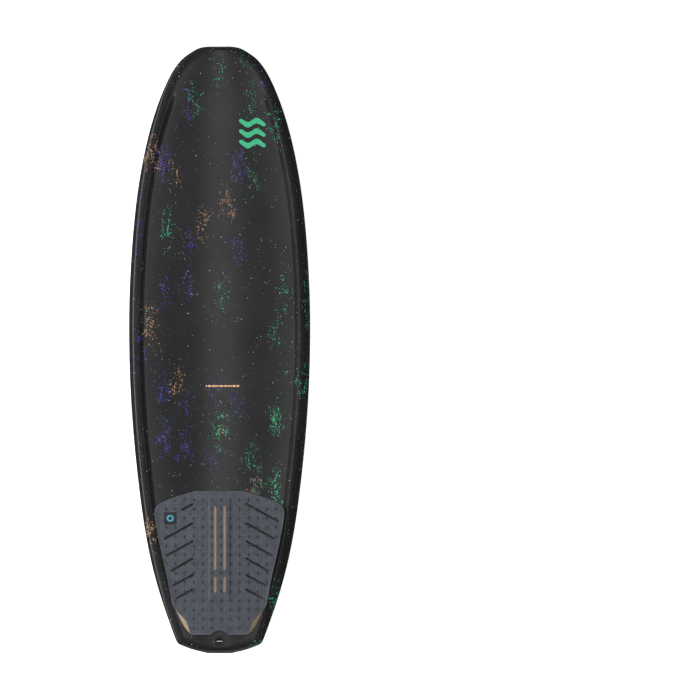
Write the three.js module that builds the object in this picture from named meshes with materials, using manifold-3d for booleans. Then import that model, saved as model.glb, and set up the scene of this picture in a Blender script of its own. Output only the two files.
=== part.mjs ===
// A strapless surf-style kiteboard, deck up. Millimetres: X is across the board, Y runs from the tail to the
// nose, and the flat stretch of the bottom lies on z = 0.
import * as THREE from "three";
import { mergeVertices } from "three/addons/utils/BufferGeometryUtils.js";
import Module from "manifold-3d";

// ---- Hull: outline, rocker and thickness ----
const LENGTH = 1549.4;
const HALF = LENGTH / 2;
// Half of the outline, [half-width, y], from the nose's flat tip to the tail's flat end.
const OUTLINE = [
  [29, HALF], [51, 771], [72, 760], [95, 743], [118, 714], [148, 652], [178.5, 560], [204.3, 438],
  [219.7, 315], [229.7, 162], [231.7, 40], [227.4, -114], [212.4, -298], [187.2, -482], [158.3, -605],
  [117, -727], [109.5, -745], [104, -751.5], [94, -756], [68, -765.5], [30, -HALF],
];
const FLAT_FRONT = 100;
const FLAT_REAR = -260;
const NOSE = { rocker: 85, rockerPower: 2.2, thickness: 16, thicknessPower: 2.4 };
const TAIL = { rocker: 38, rockerPower: 2, thickness: 20, thicknessPower: 2.2 };
const THICKNESS = 46;
// The crown: how far the deck falls from its centreline to its dished shoulders, at this share across.
const CROWN = { drop: 0.1, reach: 0.78 };
const APEX = 0.4;
const SEAM_GAP = 0.3;

// ---- Hull: rails, recessed deck and bottom channel ----
const DECK_ROLL = 24;
const BOTTOM_ROLL = 14;
// The rail band ends in a crisp ridge, and the deck scoops up to it from inside.
const BAND = { width: 27, tailWidth: 24, narrowFrom: -300, step: 13, height: 4.7 };
const BAND_FADE = { front: [590, 665], rear: [-590, -665] };
const CHANNEL = { half: 87.5, depth: 4, ridge: 0.8, front: [520, 650], rear: [-250, -385] };

// ---- Hull: layers, as depths below the outer surface ----
const SKIN = 1.2;
const FIT = 0.3;
const PATCH = { top: 1.5, bottom: 2.1, front: -330, rear: -715, margin: 6 };
const DECK_SANDWICH = { top: 2.4, bottom: 4.9 };
const BOTTOM_SANDWICH = { top: 1.5, bottom: 4 };
const CORE = { deck: 5.2, bottom: 4.3 };
const RAIL_WIDTH = 38.5;
const STRINGER = { width: 4, rear: -562 };

// ---- Fin boxes, in a frame on the bottom with local z into the board ----
const SIDE_BOX = { length: 129, width: 22, depth: 17, slot: [109, 6.5, 14], slotShift: 0, lobes: [34, -12] };
const CENTRE_BOX = {
  length: 152, width: 22, depth: 14, slot: [114, 6.5, 11.5], slotShift: 14, lobes: [46, -4],
};
const SIDE_BOX_AT = { x: 152, y: -473, toe: 2.2 };
const CENTRE_BOX_Y = -651.5;
const LOBE = { radius: 10, offset: 8.5 };
const BLOCK = { margin: 8, below: 3.5 };
const SCREW = { radius: 2.5, length: 8, socket: 1.45, socketDepth: 3, tilt: 45, offset: 10.2, sunk: 2.4 };

// ---- Leash plug, in a frame on the deck with local z out of the board ----
const CUP = { y: -744, radius: 12.5, flange: 14.5, flangeTop: 1.6, inner: 7.5, depth: 13.5, floor: 2 };
const PIN = { radius: 1.5, length: 19, below: 2.4 };
const LEASH_BLOCK = { radius: 19, top: 5.5, bottom: 16.8 };

// ---- Traction pad: [y, half-width of the base, half-width of the top sheet] from front to rear ----
const PAD_ROWS = [
  [-360, 60, 60], [-372, 102, 102], [-382, 130, 130], [-392, 152, 152], [-402, 163, 163], [-415, 166, 166],
  [-443, 163, 163], [-510, 150, 150], [-580, 134, 134], [-625, 125, 125], [-637, 123, 123],
  [-650, 120.5, 120.5], [-668, 110, 109], [-690, 99, 87.5], [-708, 89.5, 79.5], [-722, 77.5, 75.5],
  [-727.5, 70, 70],
];
const PAD_MID = 0.62;
const PAD_HEM = 9;
const ARCH = { half: 30, ramp: 6, height: 4, front: -382, rear: -637, endRamp: 10 };
const KICK = { front: -645, ramp: 50, height: 12 };
// Heights above the deck: [lower face, upper face]; the top sheet and the arch also follow the lift.
const ADHESIVE = [0.93, 1.1];
const BASE = [1.4, 3.4];
const LIFTED = 3.7;
const TOP = [4.2, 7.2];
const LEAST = 0.2;
const NOTCH = { radius: 26, y: -742 };
const STRIPES = { x: 12, width: 8, spans: [[-399, -562], [-579, -620]] };
// Slots, [inner end, outer end] on the right side; the left side's first one stops short of the badge.
const SLOTS = [
  [[69, -394], [149, -437]], [[69, -443], [139.5, -482]], [[69, -489], [133, -524.5]],
  [[69, -533], [123, -564]], [[69, -575], [117, -601]], [[69, -612], [108.6, -634]],
];
const SHORT_SLOT = [[69, -394], [95, -408]];
const SLOT_WIDTH = 6;
const BADGE = { x: -126, y: -430, side: 31, bend: -443, thickness: 0.8 };

const FINISH = {
  lacquer: new THREE.MeshStandardMaterial({ color: 0x2c2c2e, roughness: 0.3 }),
  foam: new THREE.MeshStandardMaterial({ color: 0xeceae4, roughness: 0.95 }),
  denseFoam: new THREE.MeshStandardMaterial({ color: 0xd9c9a2, roughness: 0.9 }),
  sandwich: new THREE.MeshStandardMaterial({ color: 0xb9cdb0, roughness: 0.85 }),
  carbon: new THREE.MeshStandardMaterial({ color: 0x1d1d20, roughness: 0.45 }),
  wood: new THREE.MeshStandardMaterial({ color: 0xc79b63, roughness: 0.7 }),
  blackPlastic: new THREE.MeshStandardMaterial({ color: 0x2f3033, roughness: 0.5 }),
  steel: new THREE.MeshStandardMaterial({ color: 0xd4d6d8, roughness: 0.25, metalness: 1 }),
  blackSteel: new THREE.MeshStandardMaterial({ color: 0x35363a, roughness: 0.4, metalness: 1 }),
  adhesive: new THREE.MeshStandardMaterial({ color: 0xd8d6cc, roughness: 0.6 }),
  tanFoam: new THREE.MeshStandardMaterial({ color: 0xc79f7c, roughness: 0.85 }),
  greyFoam: new THREE.MeshStandardMaterial({ color: 0x4f565f, roughness: 0.85 }),
  badge: new THREE.MeshStandardMaterial({ color: 0x26282b, roughness: 0.5 }),
};

const wasm = await Module();
wasm.setup();

const clamp01 = (t) => Math.min(1, Math.max(0, t));
const ramp = (t, from, to) => clamp01((t - from) / (to - from));
const smooth = (t) => t * t * (3 - 2 * t);

// ---- Solids: geometries in and out of the boolean library ----
function toSolid(geometry) {
  const bare = geometry.clone();
  bare.deleteAttribute("normal");
  bare.deleteAttribute("uv");
  const merged = mergeVertices(bare, 1e-4);
  return new wasm.Manifold(
    new wasm.Mesh({
      numProp: 3,
      vertProperties: new Float32Array(merged.attributes.position.array),
      triVerts: new Uint32Array(merged.index.array),
    }),
  );
}

function toGeometry(solid) {
  const mesh = solid.getMesh();
  const geometry = new THREE.BufferGeometry();
  geometry.setAttribute("position", new THREE.BufferAttribute(mesh.vertProperties, 3));
  geometry.setIndex(new THREE.BufferAttribute(mesh.triVerts, 1));
  geometry.computeVertexNormals();
  return geometry;
}

// ---- Outline functions ----
const outlineCurve = new THREE.CatmullRomCurve3(
  OUTLINE.map(([x, y]) => new THREE.Vector3(x, y, 0)),
  false,
  "centripetal",
);
const outlinePoints = outlineCurve.getPoints(240);

function halfWidth(y) {
  const after = outlinePoints.findIndex((p) => p.y <= y);
  if (after <= 0) return outlinePoints[after === 0 ? 0 : outlinePoints.length - 1].x;
  const a = outlinePoints[after - 1];
  const b = outlinePoints[after];
  return a.x + ((b.x - a.x) * (a.y - y)) / (a.y - b.y);
}

// Distance in plan from a point inside the outline to its nearest edge.
const edgeLine = [new THREE.Vector3(0, HALF, 0), ...outlinePoints, new THREE.Vector3(0, -HALF, 0)];
function edgeDistance(x, y) {
  const point = new THREE.Vector3(Math.abs(x), y, 0);
  const nearest = new THREE.Vector3();
  let least = Infinity;
  for (let k = 1; k < edgeLine.length; k++) {
    new THREE.Line3(edgeLine[k - 1], edgeLine[k]).closestPointToPoint(point, true, nearest);
    least = Math.min(least, nearest.distanceTo(point));
  }
  return least;
}

// ---- Surface heights ----
function rockerAt(y) {
  if (y > FLAT_FRONT) return NOSE.rocker * ramp(y, FLAT_FRONT, HALF) ** NOSE.rockerPower;
  return TAIL.rocker * ramp(y, FLAT_REAR, -HALF) ** TAIL.rockerPower;
}

function thicknessAt(y) {
  const end = y > 0 ? NOSE : TAIL;
  return end.thickness + (THICKNESS - end.thickness) * (1 - (Math.abs(y) / HALF) ** end.thicknessPower);
}

const apexAt = (y) => rockerAt(y) + APEX * thicknessAt(y);
const roll = (distance, length) => Math.sqrt(1 - (1 - clamp01(distance / length)) ** 2);
const bandAt = (y) => {
  const narrowing = ramp(y, BAND.narrowFrom, BAND_FADE.rear[0]);
  return BAND.width + (BAND.tailWidth - BAND.width) * narrowing;
};

function deckHeight(x, y) {
  const thickness = thicknessAt(y);
  const distance = edgeDistance(x, y);
  const across = clamp01(Math.abs(x) / (CROWN.reach * halfWidth(y)));
  const band = bandAt(y);
  const along = smooth(1 - ramp(y, ...BAND_FADE.front)) * smooth(1 - ramp(y, ...BAND_FADE.rear));
  const ridge = BAND.height * along * (1 - ramp(distance, band, band + BAND.step)) ** 2;
  const crown = (CROWN.drop * (1 - Math.cos(Math.PI * across))) / 2;
  const full = rockerAt(y) + thickness * (1 - crown) + ridge;
  return apexAt(y) + (full - apexAt(y)) * roll(distance, DECK_ROLL);
}

function bottomHeight(x, y) {
  const along = smooth(1 - ramp(y, ...CHANNEL.front)) * smooth(1 - ramp(y, ...CHANNEL.rear));
  const across = clamp01(Math.abs(x) / CHANNEL.half);
  const hollow = CHANNEL.depth * Math.sin(Math.PI * across) + CHANNEL.ridge * (1 - across);
  const full = rockerAt(y) + along * hollow;
  return apexAt(y) - (apexAt(y) - full) * roll(edgeDistance(x, y), BOTTOM_ROLL);
}

// ---- Surface grids: rows from nose to tail, columns from -X to +X ----
const GRID_ROWS = [
  HALF, 770, 760, 745, 718, 665, 590, 505, 410, 310, 205, FLAT_FRONT, -25, -150, FLAT_REAR, -345, -425, -500,
  -570, -635, -690, -728, -747, -759, -768, -HALF,
];
const CORE_ROWS = [3, GRID_ROWS.length - 4];
const CORE_COLUMNS = [3, 11];

function mirrored(right) {
  return [...right.map((x) => -x), 0, ...right.slice().reverse()];
}

// The edge columns keep their distances to the outline, drawn together where the tips are narrow.
const TIP_HALF = 61;
const edgeColumns = (y, insets) => insets.map((d) => halfWidth(y) - d * Math.min(1, halfWidth(y) / TIP_HALF));

function deckColumns(y) {
  const band = bandAt(y);
  const edge = edgeColumns(y, [0, 3, 12, band, band + 0.4 * BAND.step, band + BAND.step]);
  const dished = edge[edge.length - 1];
  return mirrored([...edge, Math.min(90, 0.55 * dished)]);
}

function bottomColumns(y) {
  const edge = edgeColumns(y, [0, 4, BOTTOM_ROLL, 30]);
  const channel = Math.min(CHANNEL.half, 0.72 * edge[edge.length - 1]);
  return mirrored([...edge, channel, (channel * 2) / 3, channel / 3]);
}

function surfaceGrid(columns, height, side) {
  const last = GRID_ROWS.length - 1;
  return GRID_ROWS.map((y, i) =>
    columns(y).map((x, j, all) => {
      const edge = i === 0 || i === last || j === 0 || j === all.length - 1;
      const z = edge ? apexAt(y) + (side * SEAM_GAP) / 2 : height(x, y);
      return new THREE.Vector3(x, y, z);
    }),
  );
}

// The grid's border, anticlockwise seen from above, as [row, column] pairs.
function borderOf(grid) {
  const lastRow = grid.length - 1;
  const lastColumn = grid[0].length - 1;
  const border = [];
  for (let i = 0; i < lastRow; i++) border.push([i, 0]);
  for (let j = 0; j < lastColumn; j++) border.push([lastRow, j]);
  for (let i = lastRow; i > 0; i--) border.push([i, lastColumn]);
  for (let j = lastColumn; j > 0; j--) border.push([0, j]);
  return border;
}

// Outward normals: up for the deck, down for the bottom, and level at the border.
function outwardNormals(grid, side) {
  const normals = grid.map((row) => row.map(() => new THREE.Vector3()));
  for (let i = 0; i + 1 < grid.length; i++) {
    for (let j = 0; j + 1 < grid[0].length; j++) {
      const across = grid[i][j + 1].clone().sub(grid[i + 1][j]);
      const down = grid[i + 1][j + 1].clone().sub(grid[i][j]);
      const face = down.cross(across).normalize().multiplyScalar(side);
      for (const [a, b] of [[i, j], [i, j + 1], [i + 1, j], [i + 1, j + 1]]) normals[a][b].add(face);
    }
  }
  const border = borderOf(grid);
  border.forEach(([i, j], k) => {
    const [a, b] = border[(k + 1) % border.length];
    const [c, d] = border[(k + border.length - 1) % border.length];
    const tangent = grid[a][b].clone().sub(grid[c][d]);
    normals[i][j].set(tangent.y, -tangent.x, 0);
  });
  for (const normal of normals.flat()) normal.normalize();
  return normals;
}

function inset(grid, normals, depth) {
  return grid.map((row, i) => row.map((p, j) => p.clone().addScaledVector(normals[i][j], -depth)));
}

function subGrid(grid, [firstRow, lastRow], [firstColumn, lastColumn]) {
  return grid.slice(firstRow, lastRow + 1).map((row) => row.slice(firstColumn, lastColumn + 1));
}

// A closed solid between two grids of the same size.
function plate(upper, lower) {
  const width = upper[0].length;
  const offset = upper.length * width;
  const vertices = [...upper.flat(), ...lower.flat()].flatMap((p) => p.toArray());
  const triangles = [];
  const at = (i, j) => i * width + j;
  for (let i = 0; i + 1 < upper.length; i++) {
    for (let j = 0; j + 1 < width; j++) {
      const [a, b, c, d] = [at(i, j), at(i, j + 1), at(i + 1, j), at(i + 1, j + 1)];
      triangles.push(a, c, b, b, c, d);
      triangles.push(offset + a, offset + b, offset + c, offset + b, offset + d, offset + c);
    }
  }
  const border = borderOf(upper).map(([i, j]) => at(i, j));
  border.forEach((p, k) => {
    const q = border[(k + 1) % border.length];
    triangles.push(offset + p, offset + q, q, offset + p, q, p);
  });
  const geometry = new THREE.BufferGeometry();
  geometry.setAttribute("position", new THREE.Float32BufferAttribute(vertices, 3));
  geometry.setIndex(triangles);
  return toSolid(geometry);
}

const deck = surfaceGrid(deckColumns, deckHeight, 1);
const bottom = surfaceGrid(bottomColumns, bottomHeight, -1);
const deckNormals = outwardNormals(deck, 1);
const bottomNormals = outwardNormals(bottom, -1);
const deckAt = (depth) => inset(deck, deckNormals, depth);
const bottomAt = (depth) => inset(bottom, bottomNormals, depth);
const inner = (grid) => subGrid(grid, CORE_ROWS, CORE_COLUMNS);

// Height of the deck's own facets at a point: each cell is two triangles that share the diagonal b-c.
function deckFacet(x, y) {
  const i = Math.max(1, deck.findIndex((row) => row[0].y <= y));
  const t = (deck[i - 1][0].y - y) / (deck[i - 1][0].y - deck[i][0].y);
  const line = deck[i].map((p, j) => deck[i - 1][j].x + (p.x - deck[i - 1][j].x) * t);
  const j = Math.max(1, line.findIndex((edge) => edge >= x));
  const [a, b, c, d] = [deck[i - 1][j - 1], deck[i - 1][j], deck[i][j - 1], deck[i][j]];
  const diagonal = b.x + (c.x - b.x) * t;
  const corners = x < diagonal ? [a, b, c] : [d, b, c];
  const plane = new THREE.Plane().setFromCoplanarPoints(...corners);
  return -(plane.constant + plane.normal.x * x + plane.normal.y * y) / plane.normal.z;
}

// ---- Prisms in plan ----
function prism(points, low, high) {
  const shape = new THREE.Shape(points.map((p) => new THREE.Vector2(p.x, p.y)));
  const geometry = new THREE.ExtrudeGeometry(shape, { depth: high - low, bevelEnabled: false });
  return toSolid(geometry.translate(0, 0, low));
}

// A bar with round ends between two points.
function slotPoints([ax, ay], [bx, by], width, steps = 5) {
  const along = Math.atan2(by - ay, bx - ax);
  const arc = (x, y, from) =>
    Array.from({ length: steps + 1 }, (_, k) => {
      const angle = from + (Math.PI * k) / steps;
      return new THREE.Vector2(x + (Math.cos(angle) * width) / 2, y + (Math.sin(angle) * width) / 2);
    });
  return [...arc(bx, by, along - Math.PI / 2), ...arc(ax, ay, along + Math.PI / 2)];
}

function circlePoints(x, y, radius, steps = 20) {
  return Array.from({ length: steps }, (_, k) => {
    const angle = (2 * Math.PI * k) / steps;
    return new THREE.Vector2(x + radius * Math.cos(angle), y + radius * Math.sin(angle));
  });
}

// The outline moved in by a distance, without the points that its corners would fold over.
function insetOutline(distance) {
  const steps = 44;
  const moved = outlineCurve.getPoints(steps).map((p, k) => {
    const tangent = outlineCurve.getTangent(k / steps);
    return new THREE.Vector2(p.x + tangent.y * distance, p.y - tangent.x * distance);
  });
  const kept = moved.filter((p) => p.x > 3 && edgeDistance(p.x, p.y) > distance - 0.05);
  return [...kept, ...kept.slice().reverse().map((p) => new THREE.Vector2(-p.x, p.y))].reverse();
}

const BELOW = -40;
const ABOVE = 190;
const WIDE = 400;
const coreColumn = prism(insetOutline(RAIL_WIDTH + FIT), BELOW, ABOVE);
const railCutter = prism(insetOutline(RAIL_WIDTH), BELOW, ABOVE);
const halfSpace = (side, gap) => {
  const box = new THREE.BoxGeometry(WIDE, 2 * LENGTH, ABOVE - BELOW);
  return toSolid(box.translate(side * (WIDE / 2 + gap), 0, (ABOVE + BELOW) / 2));
};

// ---- Frames on the hull ----
// A frame on the bottom: x across, y towards the nose, z into the board, turned by the toe-in angle.
function bottomFrame(x, y, toe) {
  const reach = 20;
  const slope = (bottomHeight(x, y + reach) - bottomHeight(x, y - reach)) / (2 * reach);
  const turn = new THREE.Euler(Math.atan(slope), 0, THREE.MathUtils.degToRad(toe), "ZXY");
  return new THREE.Matrix4()
    .makeRotationFromEuler(turn)
    .setPosition(x, y, bottomHeight(x, y));
}

function deckFrame(y) {
  const reach = 8;
  const slope = (deckHeight(0, y + reach) - deckHeight(0, y - reach)) / (2 * reach);
  return new THREE.Matrix4().makeRotationX(Math.atan(slope)).setPosition(0, y, deckHeight(0, y));
}

const moved = (geometrySolid, matrix) => geometrySolid.transform(matrix.elements);

// ---- Fin boxes ----
// The box's plan: a long bar with two offset screw lobes, side +1 putting the front lobe towards +x.
function boxPrism(box, side, grow, low, high) {
  const reach = (box.length - box.width) / 2;
  const bar = prism(slotPoints([0, -reach], [0, reach], box.width + 2 * grow), low, high);
  const lobes = box.lobes.map((y, k) => {
    const x = side * (k === 0 ? 1 : -1) * LOBE.offset;
    return prism(circlePoints(x, y, LOBE.radius + grow, 14), low, high);
  });
  return bar.add(lobes[0]).add(lobes[1]);
}

// Where a grub screw lies: in a lobe, leaning down towards the slot; its own z points out of the board.
function screwFrame(box, side, k) {
  const across = side * (k === 0 ? 1 : -1);
  const lean = THREE.MathUtils.degToRad(across * (180 - SCREW.tilt));
  return new THREE.Matrix4().makeRotationY(lean).setPosition(across * SCREW.offset, box.lobes[k], SCREW.sunk);
}

function screwGeometry() {
  const { radius, length, socket, socketDepth } = SCREW;
  const chamfer = 0.4;
  const point = 1;
  const profile = [
    [0, -length], [radius - point, -length], [radius, point - length],
    [radius, -chamfer], [radius - chamfer, 0], [0, 0],
  ].map(([r, z]) => new THREE.Vector2(r, z));
  const body = toSolid(new THREE.LatheGeometry(profile, 8).rotateX(Math.PI / 2));
  const hexagon = prism(circlePoints(0, 0, socket, 6), -socketDepth, 1);
  return toGeometry(body.subtract(hexagon));
}

function makeFinBox(box, side, frame, hull) {
  const [slotLength, slotWidth, slotDepth] = box.slot;
  const reach = (slotLength - slotWidth) / 2;
  const outside = -6;
  const ends = [[0, box.slotShift - reach], [0, box.slotShift + reach]];
  let solid = moved(boxPrism(box, side, 0, outside, box.depth), frame).intersect(hull);
  solid = solid.subtract(moved(prism(slotPoints(...ends, slotWidth, 3), outside, slotDepth), frame));
  const past = 12;
  const bore = prism(circlePoints(0, 0, SCREW.radius + FIT, 12), -SCREW.length - SCREW.radius / 2, past);
  const screws = box.lobes.map((_, k) => screwFrame(box, side, k));
  for (const screw of screws) solid = solid.subtract(moved(bore, frame.clone().multiply(screw)));
  return {
    solid,
    screws,
    opening: moved(boxPrism(box, side, FIT, outside, box.depth + FIT), frame),
    block: moved(boxPrism(box, side, BLOCK.margin, CORE.bottom + FIT, box.depth + BLOCK.below), frame),
    pocket: moved(boxPrism(box, side, BLOCK.margin + FIT, outside, box.depth + BLOCK.below + FIT), frame),
  };
}

// ---- Leash plug ----
function makeLeashPlug(frame) {
  const floorZ = -CUP.depth;
  const cupProfile = [
    [0, floorZ - CUP.floor], [CUP.radius, floorZ - CUP.floor], [CUP.radius, FIT], [CUP.flange, FIT],
    [CUP.flange - 0.6, CUP.flangeTop], [CUP.inner + 0.8, CUP.flangeTop], [CUP.inner, CUP.flangeTop - 0.8],
    [CUP.inner, floorZ], [0, floorZ],
  ].map(([r, z]) => new THREE.Vector2(r, z));
  const cup = toSolid(new THREE.LatheGeometry(cupProfile, 24).rotateX(Math.PI / 2));
  const bar = (radius, length) => {
    const rod = new THREE.CylinderGeometry(radius, radius, length, 12).rotateZ(Math.PI / 2);
    return toSolid(rod.translate(0, 0, -PIN.below));
  };
  const round = (radius, low, high) => moved(prism(circlePoints(0, 0, radius, 24), low, high), frame);
  return {
    cup: moved(cup.subtract(bar(PIN.radius + FIT, PIN.length + 2 * FIT)), frame),
    pin: moved(bar(PIN.radius, PIN.length), frame),
    opening: round(CUP.radius + FIT, floorZ - CUP.floor - FIT, 20),
    block: round(LEASH_BLOCK.radius, -LEASH_BLOCK.bottom, -LEASH_BLOCK.top),
    pocket: round(LEASH_BLOCK.radius + FIT, -LEASH_BLOCK.bottom - FIT, 0),
  };
}

// ---- Traction pad ----
function padLift(x, y) {
  const across = clamp01((ARCH.half - Math.abs(x)) / ARCH.ramp);
  const front = clamp01((ARCH.front - y) / ARCH.endRamp);
  const rear = clamp01((y - ARCH.rear) / (ARCH.endRamp + 2));
  const kick = KICK.height * clamp01((KICK.front - y) / KICK.ramp);
  return Math.max(ARCH.height * across * Math.min(front, rear), kick);
}

// A pad layer over given rows; half(row) is its half-width and the two heights are functions of x and y.
function padLayer(rows, columns, lower, upper) {
  const gridAt = (height) =>
    rows.map((row) =>
      mirroredPad(columns(row)).map((x) => {
        const y = row[0];
        return new THREE.Vector3(x, y, deckFacet(x, y) + height(x, y));
      }),
    );
  return plate(gridAt(upper), gridAt(lower));
}

const mirroredPad = (right) => [...right.map((x) => -x), ...right.slice().reverse()];
const padColumns = (half) => [half, half - PAD_HEM, PAD_MID * half, ARCH.half, ARCH.half - ARCH.ramp];
const baseColumns = ([, base]) => padColumns(base);
const topColumns = ([, , top]) => padColumns(top);

function padCutters() {
  const cutters = [prism(circlePoints(0, NOTCH.y, NOTCH.radius, 28), 0, ABOVE)];
  const flip = ([x, y]) => [-x, y];
  SLOTS.forEach(([from, to], k) => {
    const [leftFrom, leftTo] = k === 0 ? SHORT_SLOT : [from, to];
    cutters.push(prism(slotPoints(from, to, SLOT_WIDTH, 1), 0, ABOVE));
    cutters.push(prism(slotPoints(flip(leftTo), flip(leftFrom), SLOT_WIDTH, 1), 0, ABOVE));
  });
  return cutters;
}

function stripeWindows() {
  const windows = [];
  for (const side of [-1, 1]) {
    for (const [from, to] of STRIPES.spans) {
      const x = side * STRIPES.x;
      const end = STRIPES.width / 2;
      windows.push(prism(slotPoints([x, to + end], [x, from - end], STRIPES.width, 4), 0, ABOVE));
    }
  }
  return windows;
}

// The kick's wedge runs out to a bevel at each rear corner, between the top sheet's edge and the base's.
function makeKickWedge() {
  const rows = PAD_ROWS.filter(([y]) => y < KICK.front);
  const edge = (base, top) => Math.min(top, base - LEAST);
  const columns = ([, base, top]) => [base, edge(base, top), ...padColumns(top).slice(1)];
  const edgeOf = new Map(rows.map(([y, base, top]) => [y, [base, edge(base, top)]]));
  const upper = (x, y) => {
    const [base, top] = edgeOf.get(y);
    const bevel = clamp01((base - Math.abs(x)) / (base - top));
    return LIFTED + Math.max(LEAST, padLift(x, y) * bevel);
  };
  return padLayer(rows, columns, () => LIFTED, upper);
}

function makeArchCore() {
  const edge = ARCH.half - 1;
  const rows = PAD_ROWS.filter(([y]) => y < ARCH.front && y > ARCH.rear);
  return padLayer(rows, () => [edge, ARCH.half - ARCH.ramp], () => LIFTED, (x, y) =>
    LIFTED + Math.max(LEAST, padLift(x, y)),
  );
}

// A square plate that bends where the pad's row behind it does.
function makeBadge() {
  const reach = BADGE.side / 2;
  const columns = [BADGE.x - reach, BADGE.x + reach];
  const rows = [BADGE.y + reach, BADGE.bend, BADGE.y - reach];
  const at = (height) =>
    rows.map((y) => columns.map((x) => new THREE.Vector3(x, y, deckFacet(x, y) + height)));
  const low = TOP[1] + FIT;
  return plate(at(low + BADGE.thickness), at(low));
}

// ---- Assembly ----
const board = new THREE.Group();
function add(name, shape, material, parent = board) {
  const mesh = new THREE.Mesh(shape.isBufferGeometry ? shape : toGeometry(shape), material);
  mesh.name = name;
  parent.add(mesh);
  return mesh;
}

const hull = plate(deck, bottom);
const sideFrame = (side) => bottomFrame(side * SIDE_BOX_AT.x, SIDE_BOX_AT.y, side * SIDE_BOX_AT.toe);
const finBoxes = [
  { name: "left", box: SIDE_BOX, side: 1, frame: sideFrame(-1) },
  { name: "right", box: SIDE_BOX, side: -1, frame: sideFrame(1) },
  { name: "centre", box: CENTRE_BOX, side: -1, frame: bottomFrame(0, CENTRE_BOX_Y, 0) },
].map((entry) => ({ ...entry, ...makeFinBox(entry.box, entry.side, entry.frame, hull) }));
const leash = makeLeashPlug(deckFrame(CUP.y));
const cutAll = (solid, cutters) => cutters.reduce((left, cutter) => left.subtract(cutter), solid);
const openings = finBoxes.map((entry) => entry.opening);
const pockets = finBoxes.map((entry) => entry.pocket);

// Hull layers, outside to inside.
add("deck_skin", plate(deck, deckAt(SKIN)).subtract(leash.opening), FINISH.lacquer);
add("bottom_skin", cutAll(plate(bottomAt(SKIN), bottom), openings), FINISH.lacquer);

const onHeels = ({ y }) => y < PATCH.front && y > PATCH.rear;
const patchOutline = insetOutline(RAIL_WIDTH + PATCH.margin).filter(onHeels);
const patch = plate(inner(deckAt(PATCH.top)), inner(deckAt(PATCH.bottom)));
add("heel_patch", patch.intersect(prism(patchOutline, BELOW, ABOVE)), FINISH.carbon);

const deckPanel = plate(inner(deckAt(DECK_SANDWICH.top)), inner(deckAt(DECK_SANDWICH.bottom)));
add("deck_sandwich", deckPanel.intersect(coreColumn).subtract(leash.opening), FINISH.sandwich);
const bottomPanel = plate(inner(bottomAt(BOTTOM_SANDWICH.bottom)), inner(bottomAt(BOTTOM_SANDWICH.top)));
add("bottom_sandwich", cutAll(bottomPanel.intersect(coreColumn), openings), FINISH.sandwich);

const coreCutters = [...pockets, leash.pocket];
const core = plate(inner(deckAt(CORE.deck)), inner(bottomAt(CORE.bottom))).intersect(coreColumn);
const foam = cutAll(core, coreCutters);
const rail = cutAll(plate(deckAt(SKIN + FIT), bottomAt(SKIN + FIT)), [railCutter, ...coreCutters]);
for (const [name, side] of [["left", -1], ["right", 1]]) {
  add(`foam_core_${name}`, foam.intersect(halfSpace(side, STRINGER.width / 2 + FIT)), FINISH.foam);
  add(`rail_${name}`, rail.intersect(halfSpace(side, FIT / 2)), FINISH.denseFoam);
}
const slab = new THREE.BoxGeometry(STRINGER.width, LENGTH, ABOVE - BELOW);
slab.translate(0, STRINGER.rear + HALF, (ABOVE + BELOW) / 2);
add("stringer", foam.intersect(toSolid(slab)), FINISH.wood);

// Fin boxes, each with its dense foam block and two grub screws.
const screw = screwGeometry();
const railInside = plate(deckAt(SKIN + 2 * FIT), bottomAt(SKIN + 2 * FIT));
for (const { name, solid, screws, opening, block, frame } of finBoxes) {
  add(`fin_box_${name}`, solid, FINISH.blackPlastic);
  const clear = [opening, leash.opening, bottomPanel.translate(0, 0, FIT)];
  add(`fin_box_block_${name}`, cutAll(block.intersect(railInside), clear), FINISH.denseFoam);
  const socket = new THREE.Group();
  socket.applyMatrix4(frame);
  board.add(socket);
  screws.forEach((matrix, k) => {
    const mesh = add(`grub_screw_${name}_${k === 0 ? "front" : "rear"}`, screw, FINISH.blackSteel, socket);
    mesh.applyMatrix4(matrix);
  });
}

// Leash plug.
add("leash_cup", leash.cup, FINISH.blackPlastic);
add("leash_pin", leash.pin, FINISH.steel);
const leashCutters = [leash.opening, finBoxes[2].pocket];
add("leash_block", cutAll(leash.block.intersect(railInside), leashCutters), FINISH.denseFoam);

// Traction pad, deck side to top.
const padHoles = padCutters();
const flatLayer = ([low, high]) => padLayer(PAD_ROWS, baseColumns, () => low, () => high);
add("pad_adhesive", cutAll(flatLayer(ADHESIVE), padHoles), FINISH.adhesive);
add("pad_base", cutAll(flatLayer(BASE), padHoles), FINISH.tanFoam);
add("pad_arch_core", makeArchCore(), FINISH.tanFoam);
add("pad_kick_wedge", makeKickWedge().subtract(padHoles[0]), FINISH.tanFoam);
const [under, over] = TOP.map((height) => (x, y) => height + padLift(x, y));
const topSheet = padLayer(PAD_ROWS, topColumns, under, over);
add("pad_top", cutAll(topSheet, [...padHoles, ...stripeWindows()]), FINISH.greyFoam);
add("pad_badge", makeBadge(), FINISH.badge);

export default board;
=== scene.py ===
"""A strapless surf-style kiteboard: the fine surfaces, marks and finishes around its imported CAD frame.

Hull, pad and plug sizes are in millimetres, as in the part's own source, and meshes are scaled to metres
when they are made. X is across the board, Y runs from the tail to the nose, and the deck faces up.
"""

import math

import bmesh
import bpy
import numpy as np
from mathutils import Matrix, Vector


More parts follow.
